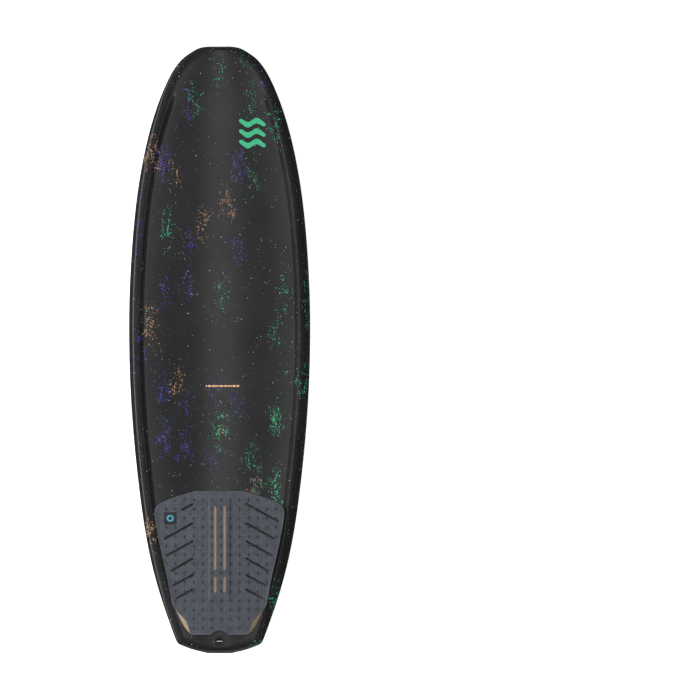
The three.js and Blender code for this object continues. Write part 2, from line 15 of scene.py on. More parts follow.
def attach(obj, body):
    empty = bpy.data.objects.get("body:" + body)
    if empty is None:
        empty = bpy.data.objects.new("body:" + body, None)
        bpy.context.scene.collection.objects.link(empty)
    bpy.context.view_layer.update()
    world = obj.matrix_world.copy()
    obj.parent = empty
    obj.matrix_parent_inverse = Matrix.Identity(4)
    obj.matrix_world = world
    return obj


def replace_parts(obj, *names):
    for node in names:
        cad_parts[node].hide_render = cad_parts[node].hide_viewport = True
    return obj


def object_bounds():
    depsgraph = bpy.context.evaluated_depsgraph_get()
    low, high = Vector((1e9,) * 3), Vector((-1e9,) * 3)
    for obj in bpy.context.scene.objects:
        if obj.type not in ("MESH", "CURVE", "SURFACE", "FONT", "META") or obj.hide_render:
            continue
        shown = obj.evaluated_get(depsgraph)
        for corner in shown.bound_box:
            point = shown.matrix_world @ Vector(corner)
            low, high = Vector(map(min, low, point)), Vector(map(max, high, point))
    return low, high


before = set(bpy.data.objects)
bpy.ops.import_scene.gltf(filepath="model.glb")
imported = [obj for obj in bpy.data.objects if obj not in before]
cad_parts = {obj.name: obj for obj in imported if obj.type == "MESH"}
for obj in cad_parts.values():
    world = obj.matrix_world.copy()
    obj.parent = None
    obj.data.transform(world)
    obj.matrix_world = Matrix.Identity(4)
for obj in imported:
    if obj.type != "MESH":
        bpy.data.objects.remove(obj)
cad_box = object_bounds()

MM = 0.001

# ---- Hull: outline, rocker and thickness ----
HALF = 774.7
# Half of the outline, [half-width, y], from the nose's flat tip to the tail's flat end.
OUTLINE = [
    (29, HALF), (51, 771), (72, 760), (95, 743), (118, 714), (148, 652), (178.5, 560), (204.3, 438),
    (219.7, 315), (229.7, 162), (231.7, 40), (227.4, -114), (212.4, -298), (187.2, -482), (158.3, -605),
    (117, -727), (109.5, -745), (104, -751.5), (94, -756), (68, -765.5), (30, -HALF),
]
FLAT_FRONT = 100
FLAT_REAR = -260
NOSE = {"rocker": 85, "rocker_power": 2.2, "thickness": 16, "thickness_power": 2.4}
TAIL = {"rocker": 38, "rocker_power": 2, "thickness": 20, "thickness_power": 2.2}
THICKNESS = 46
CROWN = {"drop": 0.1, "reach": 0.78}
APEX = 0.4
SKIN = 1.2

# ---- Hull: rails, recessed deck and bottom channel ----
DECK_ROLL = 24
BOTTOM_ROLL = 14
BAND = {"width": 27, "tail_width": 24, "narrow_from": -300, "step": 13, "height": 4.7}
BAND_FADE = {"front": (590, 665), "rear": (-590, -665)}
CHANNEL = {"half": 87.5, "depth": 4, "ridge": 0.8, "front": (520, 650), "rear": (-250, -385)}

# ---- Fin boxes, in a frame on the bottom with local z into the board ----
SIDE_BOX = {"length": 129, "width": 22, "depth": 17, "slot": (109, 6.5, 14), "shift": 0, "lobes": (34, -12)}
CENTRE_BOX = {
    "length": 152, "width": 22, "depth": 14, "slot": (114, 6.5, 11.5), "shift": 14, "lobes": (46, -4),
}
SIDE_BOX_X = 152
SIDE_BOX_Y = -473
SIDE_BOX_TOE = 2.2
CENTRE_BOX_Y = -651.5
LOBE = {"radius": 10, "offset": 8.5}
SCREW = {
    "radius": 2.5, "length": 8, "socket": 1.45, "socket_depth": 3, "tilt": 45, "offset": 10.2, "sunk": 2.4,
}
THREAD_PITCH = 0.8
FIT = 0.3

# ---- Leash plug, in a frame on the deck with local z out of the board ----
CUP = {"y": -744, "radius": 12.5, "flange": 14.5, "top": 1.6, "inner": 7.5, "depth": 13.5, "floor": 2}
PIN = {"radius": 1.5, "length": 19, "below": 2.4}

# ---- Traction pad: [y, half-width of the base, half-width of the top sheet] from front to rear ----
PAD_ROWS = [
    (-360, 60, 60), (-372, 102, 102), (-382, 130, 130), (-392, 152, 152), (-402, 163, 163), (-415, 166, 166),
    (-443, 163, 163), (-510, 150, 150), (-580, 134, 134), (-625, 125, 125), (-637, 123, 123),
    (-650, 120.5, 120.5), (-668, 110, 109), (-690, 99, 87.5), (-708, 89.5, 79.5), (-722, 77.5, 75.5),
    (-727.5, 70, 70),
]
PAD_FRONT = PAD_ROWS[0][0]
PAD_REAR = PAD_ROWS[-1][0]
ARCH = {"half": 30, "ramp": 6, "height": 4, "front": -382, "rear": -637, "end_ramp": 10}
KICK = {"front": -645, "ramp": 50, "height": 12}
BASE = (1.4, 3.4)
LIFTED = 3.7
TOP = (4.2, 7.2)
LEAST = 0.2
NOTCH = {"radius": 26, "y": -742}
STRIPES = {"x": 12, "width": 8, "spans": ((-399, -562), (-579, -620))}
# Slots, (inner end, outer end) on the right side; the left side's first one stops short of the badge.
SLOTS = [
    ((69, -394), (149, -437)), ((69, -443), (139.5, -482)), ((69, -489), (133, -524.5)),
    ((69, -533), (123, -564)), ((69, -575), (117, -601)), ((69, -612), (108.6, -634)),
]
SHORT_SLOT = ((69, -394), (95, -408))
SLOT_WIDTH = 6
SLOT_SET_BACK = 3
BADGE = {"x": -126, "y": -430, "side": 31, "thickness": 0.8}
TILE = 5.85
TILE_SHIFT = 5.0
PAD_ROW = -383
GROOVE = 1.4
GROOVE_DEPTH = 0.6
STUD_TILES = 4
STUD_HALF = (7.0, 8.4)
STUD_DEPTH = 1.0
HEM = {"width": 7.5, "overlap": 3}

# ---- Meshing ----
EDGE = [0, 0.25, 0.7, 1.4, 2.3, 3.5, 5, 6.8, 9, 11.5, 14.5, 18, 21.5, 24]
ROUND = 24
PATCH_STEP = 2.0
PATCH_REACH = (32, 84)
BLOCK_TALL = 30
# How far to each side of a point a surface's slope is taken, on the bottom and on the deck.
SLOPE_REACH = (20, 8)
OUTSIDE = -6
SLOT_LIP = 0.6
TALL = 120


# ======== Surface maths ========
def clamp01(t):
    return np.clip(t, 0.0, 1.0)


def ramp(t, start, end):
    return clamp01((np.asarray(t, float) - start) / (end - start))


def smooth(t):
    return t * t * (3 - 2 * t)


def centripetal(points, steps):
    """A centripetal Catmull-Rom curve through plan points, as steps + 1 points."""
    p = np.array(points, float)
    p = np.vstack([2 * p[0] - p[1], p, 2 * p[-1] - p[-2]])
    spans = len(points) - 1
    result = []
    for k in range(steps + 1):
        place = k / steps * spans
        i = min(int(place), spans - 1)
        u = place - i
        p0, p1, p2, p3 = p[i : i + 4]
        d0, d1, d2 = (math.sqrt(np.linalg.norm(b - a)) for a, b in ((p0, p1), (p1, p2), (p2, p3)))
        m1 = ((p1 - p0) / d0 - (p2 - p0) / (d0 + d1) + (p2 - p1) / d1) * d1
        m2 = ((p2 - p1) / d1 - (p3 - p1) / (d1 + d2) + (p3 - p2) / d2) * d1
        result.append(
            p1 + m1 * u + (-3 * p1 + 3 * p2 - 2 * m1 - m2) * u**2 + (2 * p1 - 2 * p2 + m1 + m2) * u**3
        )
    return np.array(result)


edge_points = centripetal(OUTLINE, 400)
edge_line = np.vstack([[0, HALF], edge_points, [0, -HALF]])


def half_width(y):
    return np.interp(-np.asarray(y, float), -edge_points[:, 1], edge_points[:, 0])


def distance_to(line, x, y):
    """Distance in plan from points to a line of points."""
    p = np.stack([np.ravel(x), np.ravel(y)], axis=-1)[:, None, :]
    a = line[None, :-1, :]
    d = line[None, 1:, :] - a
    t = clamp01(((p - a) * d).sum(-1) / np.maximum((d * d).sum(-1), 1e-12))
    gap = p - (a + t[..., None] * d)
    return np.sqrt((gap * gap).sum(-1).min(1)).reshape(np.shape(x))


def edge_distance(x, y):
    x, y = np.broadcast_arrays(np.abs(np.asarray(x, float)), np.asarray(y, float))
    flat_x, flat_y = x.ravel(), y.ravel()
    chunk = 4000
    parts = [
        distance_to(edge_line, flat_x[k : k + chunk], flat_y[k : k + chunk])
        for k in range(0, len(flat_x), chunk)
    ]
    return np.concatenate(parts).reshape(x.shape)


def rocker_at(y):
    nose = NOSE["rocker"] * ramp(y, FLAT_FRONT, HALF) ** NOSE["rocker_power"]
    tail = TAIL["rocker"] * ramp(y, FLAT_REAR, -HALF) ** TAIL["rocker_power"]
    return nose + tail


def thickness_at(y):
    share = np.abs(np.asarray(y, float)) / HALF

    def towards(end):
        return end["thickness"] + (THICKNESS - end["thickness"]) * (1 - share ** end["thickness_power"])

    return np.where(np.asarray(y) > 0, towards(NOSE), towards(TAIL))


def apex_at(y):
    return rocker_at(y) + APEX * thickness_at(y)


def roll(distance, length):
    return np.sqrt(1 - (1 - clamp01(distance / length)) ** 2)


def band_at(y):
    narrowing = ramp(y, BAND["narrow_from"], BAND_FADE["rear"][0])
    return BAND["width"] + (BAND["tail_width"] - BAND["width"]) * narrowing


def fade(y, spans):
    return smooth(1 - ramp(y, *spans["front"])) * smooth(1 - ramp(y, *spans["rear"]))


def deck_height(x, y):
    x, y = np.broadcast_arrays(np.asarray(x, float), np.asarray(y, float))
    distance = edge_distance(x, y)
    across = clamp01(np.abs(x) / (CROWN["reach"] * np.maximum(half_width(y), 1)))
    crown = CROWN["drop"] * (1 - np.cos(np.pi * across)) / 2
    band = band_at(y)
    ridge = BAND["height"] * fade(y, BAND_FADE) * (1 - ramp(distance, band, band + BAND["step"])) ** 2
    full = rocker_at(y) + thickness_at(y) * (1 - crown) + ridge
    apex = apex_at(y)
    return apex + (full - apex) * roll(distance, DECK_ROLL)


def bottom_height(x, y):
    x, y = np.broadcast_arrays(np.asarray(x, float), np.asarray(y, float))
    across = clamp01(np.abs(x) / CHANNEL["half"])
    hollow = CHANNEL["depth"] * np.sin(np.pi * across) + CHANNEL["ridge"] * (1 - across)
    full = rocker_at(y) + fade(y, CHANNEL) * hollow
    apex = apex_at(y)
    return apex - (apex - full) * roll(edge_distance(x, y), BOTTOM_ROLL)


# ======== Mesh helpers ========
def raw_mesh(name, vertices, faces):
    """A mesh in metres from vertices in millimetres."""
    mesh = bpy.data.meshes.new(name)
    mesh.from_pydata([tuple(v) for v in np.asarray(vertices, float) * MM], [], [list(f) for f in faces])
    return mesh


def link(obj):
    bpy.context.scene.collection.objects.link(obj)


def finish_piece(name, mesh, material, body="board", sharp=40):
    """A new object with one material, riding on a body of the frame."""
    mesh.validate()
    mesh.shade_smooth()
    mesh.set_sharp_from_angle(angle=math.radians(sharp))
    mesh.materials.clear()
    mesh.materials.append(material)
    obj = bpy.data.objects.new(name, mesh)
    link(obj)
    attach(obj, body)
    return obj


def plate(upper, lower):
    """A closed solid between two grids of points: rows from front to rear, columns from -X to +X."""
    rows, columns = upper.shape[:2]
    index = np.arange(rows * columns).reshape(rows, columns)
    a, b, c, d = index[:-1, :-1], index[:-1, 1:], index[1:, :-1], index[1:, 1:]
    top = np.stack([a, c, d, b], axis=-1).reshape(-1, 4)
    under = np.stack([a, b, d, c], axis=-1).reshape(-1, 4) + rows * columns
    border = np.concatenate([index[:-1, 0], index[-1, :-1], index[:0:-1, -1], index[0, :0:-1]])
    after = np.roll(border, -1)
    below = rows * columns
    wall = np.stack([border + below, after + below, after, border], axis=-1)
    return np.vstack([upper.reshape(-1, 3), lower.reshape(-1, 3)]), np.vstack([top, under, wall])


def heights_plate(xs, ys, upper, lower):
    """A plate over a plan grid whose two heights are functions of x and y."""
    return plate(np.dstack([xs, ys, upper(xs, ys)]), np.dstack([xs, ys, lower(xs, ys)]))


def prism(outline, low, high):
    """A closed prism on an anticlockwise plan outline."""
    outline = np.asarray(outline, float)
    count = len(outline)
    bottom = np.column_stack([outline, np.full(count, float(low))])
    top = np.column_stack([outline, np.full(count, float(high))])
    k = np.arange(count)
    after = (k + 1) % count
    walls = np.stack([k, after, after + count, k + count], axis=-1).tolist()
    return np.vstack([bottom, top]), [list(range(count))[::-1], list(range(count, 2 * count)), *walls]


def lathe(profile, steps=48):
    """A closed solid of revolution about z from (radius, z) points that start and end on the axis."""
    vertices, faces = [(0, 0, profile[0][1])], []
    angles = [2 * math.pi * k / steps for k in range(steps)]
    for r, z in profile[1:-1]:
        vertices += [(r * math.cos(t), r * math.sin(t), z) for t in angles]
    vertices.append((0, 0, profile[-1][1]))
    last = len(vertices) - 1
    rings = len(profile) - 2

    def at(ring, k):
        return 1 + ring * steps + k % steps

    for k in range(steps):
        faces.append((0, at(0, k + 1), at(0, k)))
        for ring in range(rings - 1):
            faces.append((at(ring, k), at(ring, k + 1), at(ring + 1, k + 1), at(ring + 1, k)))
        faces.append((at(rings - 1, k), at(rings - 1, k + 1), last))
    return np.array(vertices, float), faces


def joined(*solids):
    """Several solids as one list of vertices and faces."""
    vertices, faces, offset = [], [], 0
    for points, sides in solids:
        vertices.append(np.asarray(points, float))
        faces += [[int(i) + offset for i in side] for side in sides]
        offset += len(points)
    return np.vstack(vertices), faces


def placed(solid, matrix):
    vertices, faces = solid
    m = np.array(matrix)
    return vertices @ m[:3, :3].T + m[:3, 3], faces


def cut(solid, *operations):
    """A solid after boolean operations, each ('DIFFERENCE' or 'INTERSECT', solid), as a mesh in metres."""

    def as_object(name, shape):
        made = bpy.data.objects.new(name, raw_mesh(name, *shape))
        link(made)
        return made

    body = as_object("cut_body", solid)
    tools = []
    for kind, tool in operations:
        tools.append(as_object("cut_tool", tool))
        modifier = body.modifiers.new("cut", "BOOLEAN")
        modifier.operation = kind
        modifier.solver = "EXACT"
        modifier.object = tools[-1]
    bpy.context.view_layer.update()
    result = bpy.data.meshes.new_from_object(body.evaluated_get(bpy.context.evaluated_depsgraph_get()))
    for made in (body, *tools):
        bpy.data.objects.remove(made)
    return result


def arc(x, y, radius, start, end, steps):
    angles = np.linspace(start, end, steps + 1)
    return np.column_stack([x + radius * np.cos(angles), y + radius * np.sin(angles)])


def slot_outline(start, end, width, steps=10):
    """A bar with round ends between two plan points, anticlockwise."""
    along = math.atan2(end[1] - start[1], end[0] - start[0])
    half = math.pi / 2
    return np.vstack([
        arc(*end, width / 2, along - half, along + half, steps),
        arc(*start, width / 2, along + half, along + 3 * half, steps),
    ])


def circle_outline(x, y, radius, steps=48):
    return arc(x, y, radius, 0, 2 * math.pi, steps)[:-1]


def rounded_box(x, y, width, height, radius, steps=6):
    reach_x, reach_y, quarter = width / 2 - radius, height / 2 - radius, math.pi / 2
    corners = ((1, -1, -1), (1, 1, 0), (-1, 1, 1), (-1, -1, 2))
    return np.vstack([
        arc(x + sx * reach_x, y + sy * reach_y, radius, k * quarter, (k + 1) * quarter, steps)
        for sx, sy, k in corners
    ])


# ======== Node helpers ========
NOISE_SPAN = (0.3, 0.7)


class Graph:
    """One material and its shader nodes. Plain numbers and colours go straight onto sockets."""

    def __init__(self, name, **shader):
        self.material = bpy.data.materials.new(name)
        self.material.use_nodes = True
        self.nodes = self.material.node_tree.nodes
        self.links = self.material.node_tree.links
        self.shader = self.nodes["Principled BSDF"]
        for socket, value in shader.items():
            self.set(self.shader, socket.replace("_", " "), value)

    def set(self, node, socket, value):
        target = node.inputs[socket]
        if isinstance(value, bpy.types.NodeSocket):
            self.links.new(value, target)
        elif isinstance(value, (tuple, list)) and len(value) == 3 and target.type == "RGBA":
            target.default_value = (*value, 1)
        else:
            target.default_value = value

    def add(self, kind, inputs=(), **properties):
        node = self.nodes.new(kind)
        for key, value in properties.items():
            setattr(node, key, value)
        for socket, value in dict(inputs).items():
            self.set(node, socket, value)
        return node

    def math(self, operation, a, b=0.0, clamp=False):
        node = self.add("ShaderNodeMath", {0: a, 1: b}, operation=operation, use_clamp=clamp)
        return node.outputs[0]

    def plus(self, a, b):
        return self.math("ADD", a, b)

    def minus(self, a, b, clamp=False):
        return self.math("SUBTRACT", a, b, clamp)

    def times(self, a, b):
        return self.math("MULTIPLY", a, b)

    def over(self, a, b):
        return self.math("DIVIDE", a, b)

    def vector(self, operation, a, b=(0, 0, 0)):
        node = self.add("ShaderNodeVectorMath", {0: a, 1: b}, operation=operation)
        return node.outputs["Value" if operation in ("LENGTH", "DOT_PRODUCT") else "Vector"]

    def xyz(self, vector):
        return self.add("ShaderNodeSeparateXYZ", {0: vector}).outputs

    def mix(self, share, a, b):
        node = self.add("ShaderNodeMix", data_type="RGBA")
        for socket, value in zip((node.inputs[0], node.inputs[6], node.inputs[7]), (share, a, b)):
            if isinstance(value, bpy.types.NodeSocket):
                self.links.new(value, socket)
            else:
                socket.default_value = (*value, 1) if isinstance(value, (tuple, list)) else value
        return node.outputs[2]

    def spread(self, value, low, high, to_low=0.0, to_high=1.0):
        """Maps low..high smoothly to to_low..to_high, held at the ends."""
        inputs = {0: value, 1: low, 2: high, 3: to_low, 4: to_high}
        return self.add("ShaderNodeMapRange", inputs, interpolation_type="SMOOTHSTEP").outputs[0]

    def place(self, scale=1000.0, mirror=1, shift=(0, 0, 0)):
        """The point on the object in its own frame, in millimetres unless scaled."""
        point = self.add("ShaderNodeTexCoord").outputs["Object"]
        scaled = self.vector("MULTIPLY", point, (mirror * scale, scale, scale))
        return self.vector("ADD", scaled, shift) if any(shift) else scaled

    def noise(self, vector, scale, detail=2.0, roughness=0.5):
        inputs = {"Vector": vector, "Scale": scale, "Detail": detail, "Roughness": roughness}
        return self.add("ShaderNodeTexNoise", inputs).outputs[0]

    def cells(self, vector, scale=1.0, randomness=1.0, feature="F1", flat=False):
        inputs = {"Vector": vector, "Scale": scale, "Randomness": randomness}
        sides = "2D" if flat else "3D"
        return self.add("ShaderNodeTexVoronoi", inputs, feature=feature, voronoi_dimensions=sides).outputs

    def bump(self, height, distance, strength=1.0):
        node = self.add("ShaderNodeBump", {"Height": height, "Distance": distance, "Strength": strength})
        self.links.new(node.outputs[0], self.shader.inputs["Normal"])

    def colour(self, value):
        self.set(self.shader, "Base Color", value)

    def mottle(self, noise, base, pale):
        """Two tones blended over the usual span of a noise."""
        return self.mix(self.spread(noise, *NOISE_SPAN), base, pale)

    def roughness(self, noise, low, high, span=NOISE_SPAN):
        """Roughness from low to high over the span of a noise."""
        self.set(self.shader, "Roughness", self.spread(noise, *span, low, high))


def srgb(red, green, blue):
    """A colour as 0-255 screen values, made linear."""

    def linear(v):
        v /= 255
        return v / 12.92 if v <= 0.04045 else ((v + 0.055) / 1.055) ** 2.4

    return (linear(red), linear(green), linear(blue))


MINT = srgb(70, 225, 160)
VIOLET = srgb(104, 82, 205)
PEACH = srgb(232, 178, 132)


# ======== Materials ========
# The clusters' cells, across the board and along it, and where along it their rows start.
CLUSTER_PITCH = (68, 138)
CLUSTER_ROW = 1
# How much narrower than a cell a cluster is, across the board and along it.
CLUSTER_NARROWING = (2.6, 2.2, 0)
# Grains across, along and through the board, per millimetre.
GRAIN = (0.52, 0.4, 0.46)
# Share of specks that fall outside the clusters, in clean and in dusty stretches.
DUST = (0.002, 0.010)
# Where the clusters thin out towards the nose.
NOSE_FADE = (560, 660)
# How far clusters stray from a regular grid: 0 is not at all, and 1 is anywhere in their cell.
CLUSTER_SCATTER = 0.7
# The distance from the centreline at which an ink's lean counts in full.
LEAN_REACH = 230.0
# The darkest speck of an ink, as a share of its colour, and the smallest and largest speck, in grains.
DARKEST_SPECK = 0.3
SPECKS = (0.2, 0.52)
# Each ink: colour, plan shift of its clusters, share of cells that carry it, and its lean to one side.
INKS = [
    (MINT, (0.0, 0.0), 0.34, 0.38),
    (VIOLET, (31.4, 0.14), 0.30, -0.42),
    (PEACH, (57.7, -0.1), 0.11, -0.13),
]


def lacquer_face(g, point):
    """Gives a material the faint unevenness of a sprayed coat."""
    g.roughness(g.noise(point, 0.05, 4.0), 0.2, 0.27)
    g.bump(g.noise(point, 0.22, 2.0), 0.0004, 0.12)
    return g.material


def splattered(name, mirror, base):
    """Dark lacquer with ragged scraped clusters of fine ink specks, in loose rows and columns."""
    g = Graph(name, Coat_Weight=0.6, Coat_Roughness=0.14, Specular_IOR_Level=0.5)
    point = g.place(mirror=mirror)
    x, y, _ = g.xyz(point)
    ragged = g.noise(point, 0.045, 3.0, 0.6)
    dust = g.spread(g.noise(point, 0.018, 2.0), 0.42, 0.66, *DUST)
    colour = g.mix(g.spread(g.noise(point, 0.008, 3.0), 0.35, 0.65), base, tuple(1.35 * v for v in base))
    for ink, (shift_x, shift_y), share, lean in INKS:
        plan = g.add("ShaderNodeCombineXYZ", {
            0: g.plus(g.over(x, CLUSTER_PITCH[0]), shift_x),
            1: g.plus(g.over(g.minus(y, CLUSTER_ROW), CLUSTER_PITCH[1]), shift_y),
        }).outputs[0]
        cell = g.cells(plan, 1.0, CLUSTER_SCATTER, flat=True)
        offset = g.vector("SUBTRACT", plan, cell["Position"])
        reach = g.vector("LENGTH", g.vector("MULTIPLY", offset, CLUSTER_NARROWING))
        chance = g.xyz(cell["Color"])
        wanted = g.plus(share, g.times(g.over(x, LEAN_REACH), lean))
        carries = g.math("LESS_THAN", chance[0], wanted)
        core = g.minus(1.0, g.plus(reach, g.spread(ragged, 0.35, 0.65, 0.45, -0.3)), True)
        moved = g.vector("ADD", point, (shift_x * 7, shift_y * 90, shift_x))
        scrape = g.noise(g.vector("MULTIPLY", moved, (0.15, 0.04, 0.08)), 1.0, 2.0, 0.6)
        density = g.times(core, g.times(carries, g.spread(chance[1], 0, 1, 0.5, 1.2)))
        density = g.times(density, g.spread(y, *NOSE_FADE, 1.0, 0.45))
        density = g.times(density, g.spread(scrape, 0.44, 0.6, 0.12, 1.5))
        dot = g.cells(g.vector("MULTIPLY", moved, GRAIN))
        fate = g.xyz(dot["Color"])
        chosen = g.math("LESS_THAN", fate[0], g.math("MAXIMUM", density, dust))
        size = g.spread(fate[1], 0, 1, *SPECKS)
        inside = g.spread(g.minus(dot["Distance"], size), -0.06, 0.06, 1.0, 0.0)
        tone = g.mix(g.spread(fate[2], 0, 1), tuple(DARKEST_SPECK * v for v in ink), ink)
        colour = g.mix(g.times(inside, chosen), colour, tone)
    g.colour(colour)
    return lacquer_face(g, point)


def foam_body(name, base, pale, fine=1.0):
    """Closed-cell foam with small cells and a soft sheen. Returns its graph, point and mottled colour."""
    g = Graph(name, Sheen_Weight=0.25, Sheen_Roughness=0.5, Specular_IOR_Level=0.3)
    point = g.place()
    cell = g.cells(point, 1.4 * fine)["Distance"]
    tone = g.plus(g.times(g.noise(point, 0.06, 4.0), 0.6), g.times(cell, 0.5))
    g.roughness(g.noise(point, 0.3, 3.0), 0.78, 0.92)
    g.bump(cell, 0.00035, 0.35)
    return g, point, g.mix(g.spread(tone, 0.3, 0.8), base, pale)


def moulded_foam(name, base, pale, fine=1.0):
    g, _, foam = foam_body(name, base, pale, fine)
    g.colour(foam)
    return g.material


def tiled_foam(name, base, pale):
    """The pad's foam, with painted shade that darkens it down in its grooves and diamonds."""
    g, point, foam = foam_body(name, base, pale)
    x, y, _ = g.xyz(point)

    def nearest(value, shift, pitch):
        moved = g.plus(value, pitch / 2 - shift)
        return g.math("ABSOLUTE", g.minus(g.math("FLOORED_MODULO", moved, pitch), pitch / 2))

    grooves = g.math("MINIMUM", nearest(x, TILE_SHIFT, TILE), nearest(y, PAD_ROW, TILE))
    stud = STUD_TILES * TILE
    diamond = g.plus(g.over(nearest(x, TILE_SHIFT, stud), STUD_HALF[0]),
        g.over(nearest(y, PAD_ROW, stud), STUD_HALF[1]),
    )
    # Painted shade: the foam's colour is darkened in the grooves and diamond recesses, down to a quarter of
    # its base colour.
    groove_shade = g.spread(grooves, 0.1, 0.9, 0.74, 1.0)
    diamond_shade = g.spread(diamond, 0.05, 1.05, 0.25, 1.0)
    g.colour(g.mix(g.times(groove_shade, diamond_shade), tuple(0.25 * v for v in base), foam))
    return g.material


def bead_foam(name, base, pale, bead):
    """Core foam of pressed beads with darker seams between them."""
    g = Graph(name, Specular_IOR_Level=0.25)
    point = g.place()
    seam = g.cells(point, 1 / bead, feature="DISTANCE_TO_EDGE")["Distance"]
    g.colour(g.mix(g.spread(seam, 0.0, 0.18), base, pale))
    g.roughness(g.noise(point, 0.2, 3.0), 0.85, 0.97)
    g.bump(g.spread(seam, 0.0, 0.25), 0.0006, 0.6)
    return g.material


def woven(name, base, pale, strand):
    """A plain-woven cloth set in resin."""
    g = Graph(name, Coat_Weight=0.5, Coat_Roughness=0.12)
    point = g.place()
    x, y, _ = g.xyz(point)
    across = g.math("SINE", g.times(x, math.pi / strand))
    along = g.math("SINE", g.times(y, math.pi / strand))
    weave = g.times(across, along)
    g.colour(g.mix(g.spread(weave, -0.5, 0.5), base, pale))
    g.roughness(weave, 0.28, 0.42, (-1, 1))
    g.bump(weave, 0.00015, 0.5)
    return g.material


def timber(name, base, pale):
    g = Graph(name, Specular_IOR_Level=0.35)
    point = g.place()
    grain = g.noise(g.vector("MULTIPLY", point, (1.2, 0.012, 0.5)), 1.0, 5.0, 0.6)
    pores = g.noise(g.vector("MULTIPLY", point, (4.0, 0.05, 3.0)), 1.0, 2.0)
    g.colour(g.mottle(grain, base, pale))
    g.roughness(pores, 0.55, 0.75)
    g.bump(pores, 0.0002, 0.3)
    return g.material


def moulded_plastic(name, base, pale, rough=0.42):
    g = Graph(name, Specular_IOR_Level=0.45)
    point = g.place()
    speck = g.noise(point, 1.1, 3.0, 0.65)
    g.colour(g.mottle(g.noise(point, 0.05, 3.0), base, pale))
    g.roughness(speck, rough - 0.05, rough + 0.09)
    g.bump(speck, 0.00012, 0.35)
    return g.material


def steel(name, base, pale, rough, metallic=1.0):
    g = Graph(name, Metallic=metallic)
    point = g.place()
    brushed = g.noise(g.vector("MULTIPLY", point, (0.3, 4.0, 4.0)), 1.0, 3.0, 0.6)
    g.colour(g.mottle(brushed, base, pale))
    g.roughness(brushed, rough - 0.06, rough + 0.08)
    g.bump(brushed, 0.00005, 0.25)
    return g.material


def ink(name, colour, wear=0.12):
    """Screen-printed ink: an even colour with small pinholes and a satin face."""
    g = Graph(name, Coat_Weight=0.5, Coat_Roughness=0.08)
    point = g.place()
    patch = g.noise(point, 0.35, 4.0, 0.6)
    g.colour(g.mix(g.spread(patch, 0.55, 0.8), colour, tuple((1 - wear * 3) * v for v in colour)))
    g.roughness(patch, 0.26, 0.38)
    g.bump(patch, 0.00005, 0.2)
    return g.material


def halo_ink(name, x, y, width, height, inner, outer):
    """A soft printed glow that fades from one colour to the lacquer's around a rounded bar."""
    g = Graph(name, Coat_Weight=0.6, Coat_Roughness=0.06)
    point = g.place()
    px, py, _ = g.xyz(point)
    reach = (width - height) / 2
    along = g.math("MAXIMUM", g.minus(g.math("ABSOLUTE", g.minus(px, x)), reach), 0.0)
    across = g.minus(py, y)
    squares = g.plus(g.times(along, along), g.times(across, across))
    distance = g.math("SQRT", squares)
    g.colour(g.mix(g.spread(distance, height / 2, height / 2 + HALO_REACH), inner, outer))
    return lacquer_face(g, point)


HALO_REACH = 6
LACQUER = srgb(26, 26, 27)
deck_finish = splattered("lacquered_deck", 1, LACQUER)
bottom_finish = splattered("lacquered_bottom", -1, LACQUER)
PAD_GREY = (srgb(64, 68, 74), srgb(86, 90, 98))
SANDWICH = (srgb(150, 172, 140), srgb(190, 208, 178), 1.2)
DENSE = (srgb(188, 170, 126), srgb(218, 202, 162), 1.6)
grey_foam = moulded_foam("grey_foam", *PAD_GREY)
tile_foam = tiled_foam("tile_foam", *PAD_GREY)
tan_foam = moulded_foam("tan_foam", srgb(142, 118, 96), srgb(156, 134, 112))
box_plastic = moulded_plastic("box_plastic", srgb(30, 31, 33), srgb(44, 45, 48))
cup_plastic = moulded_plastic("cup_plastic", srgb(30, 30, 31), srgb(40, 40, 42), 0.34)
badge_rubber = moulded_plastic("badge_rubber", srgb(30, 32, 36), srgb(46, 48, 52), 0.5)
mint_ink = ink("mint_ink", srgb(54, 184, 132))
peach_ink = ink("peach_ink", PEACH)
cyan_ink = ink("cyan_ink", srgb(72, 152, 176))
pin_steel = steel("pin_steel", srgb(214, 216, 220), srgb(244, 245, 246), 0.3, 0.5)
screw_steel = steel("screw_steel", srgb(52, 53, 56), srgb(84, 85, 88), 0.38)

# Finishes of the CAD pieces that stay, by the start of their names.
CAD_FINISHES = {
    "heel_patch": woven("carbon_patch", srgb(20, 20, 22), srgb(62, 62, 66), 2.0),
    "deck_sandwich": bead_foam("sandwich_foam", *SANDWICH),
    "bottom_sandwich": bead_foam("sandwich_foam_bottom", *SANDWICH),
    "foam_core": bead_foam("core_foam", srgb(214, 212, 204), srgb(240, 238, 232), 3.5),
    "rail": bead_foam("dense_rail_foam", *DENSE),
    "fin_box_block": bead_foam("dense_block_foam", *DENSE),
    "leash_block": bead_foam("dense_plug_foam", *DENSE),
    "stringer": timber("stringer_wood", srgb(146, 104, 60), srgb(206, 164, 108)),
    "pad_adhesive": moulded_foam("adhesive_film", srgb(46, 46, 44), srgb(70, 70, 67), 0.6),
}
for node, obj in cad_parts.items():
    finish = next((CAD_FINISHES[key] for key in CAD_FINISHES if node.startswith(key)), None)
    if finish:
        obj.data.materials.clear()
        obj.data.materials.append(finish)


# ======== Hull skins ========
def lengthwise_rows():
    """Row positions from nose to tail: close together at the tips, 7 mm apart between them."""
    first, growth, widest = 0.9, 0.09, 7.0
    near = [0.0]
    while first + growth * near[-1] < widest:
        near.append(near[-1] + first + growth * near[-1])
    tips = np.array(near[:-1])
    reach = HALF - near[-1]
    middle = np.linspace(reach, -reach, 1 + round(2 * reach / widest))
    return np.concatenate([HALF - tips, middle, tips[::-1] - HALF])


ROWS = lengthwise_rows()


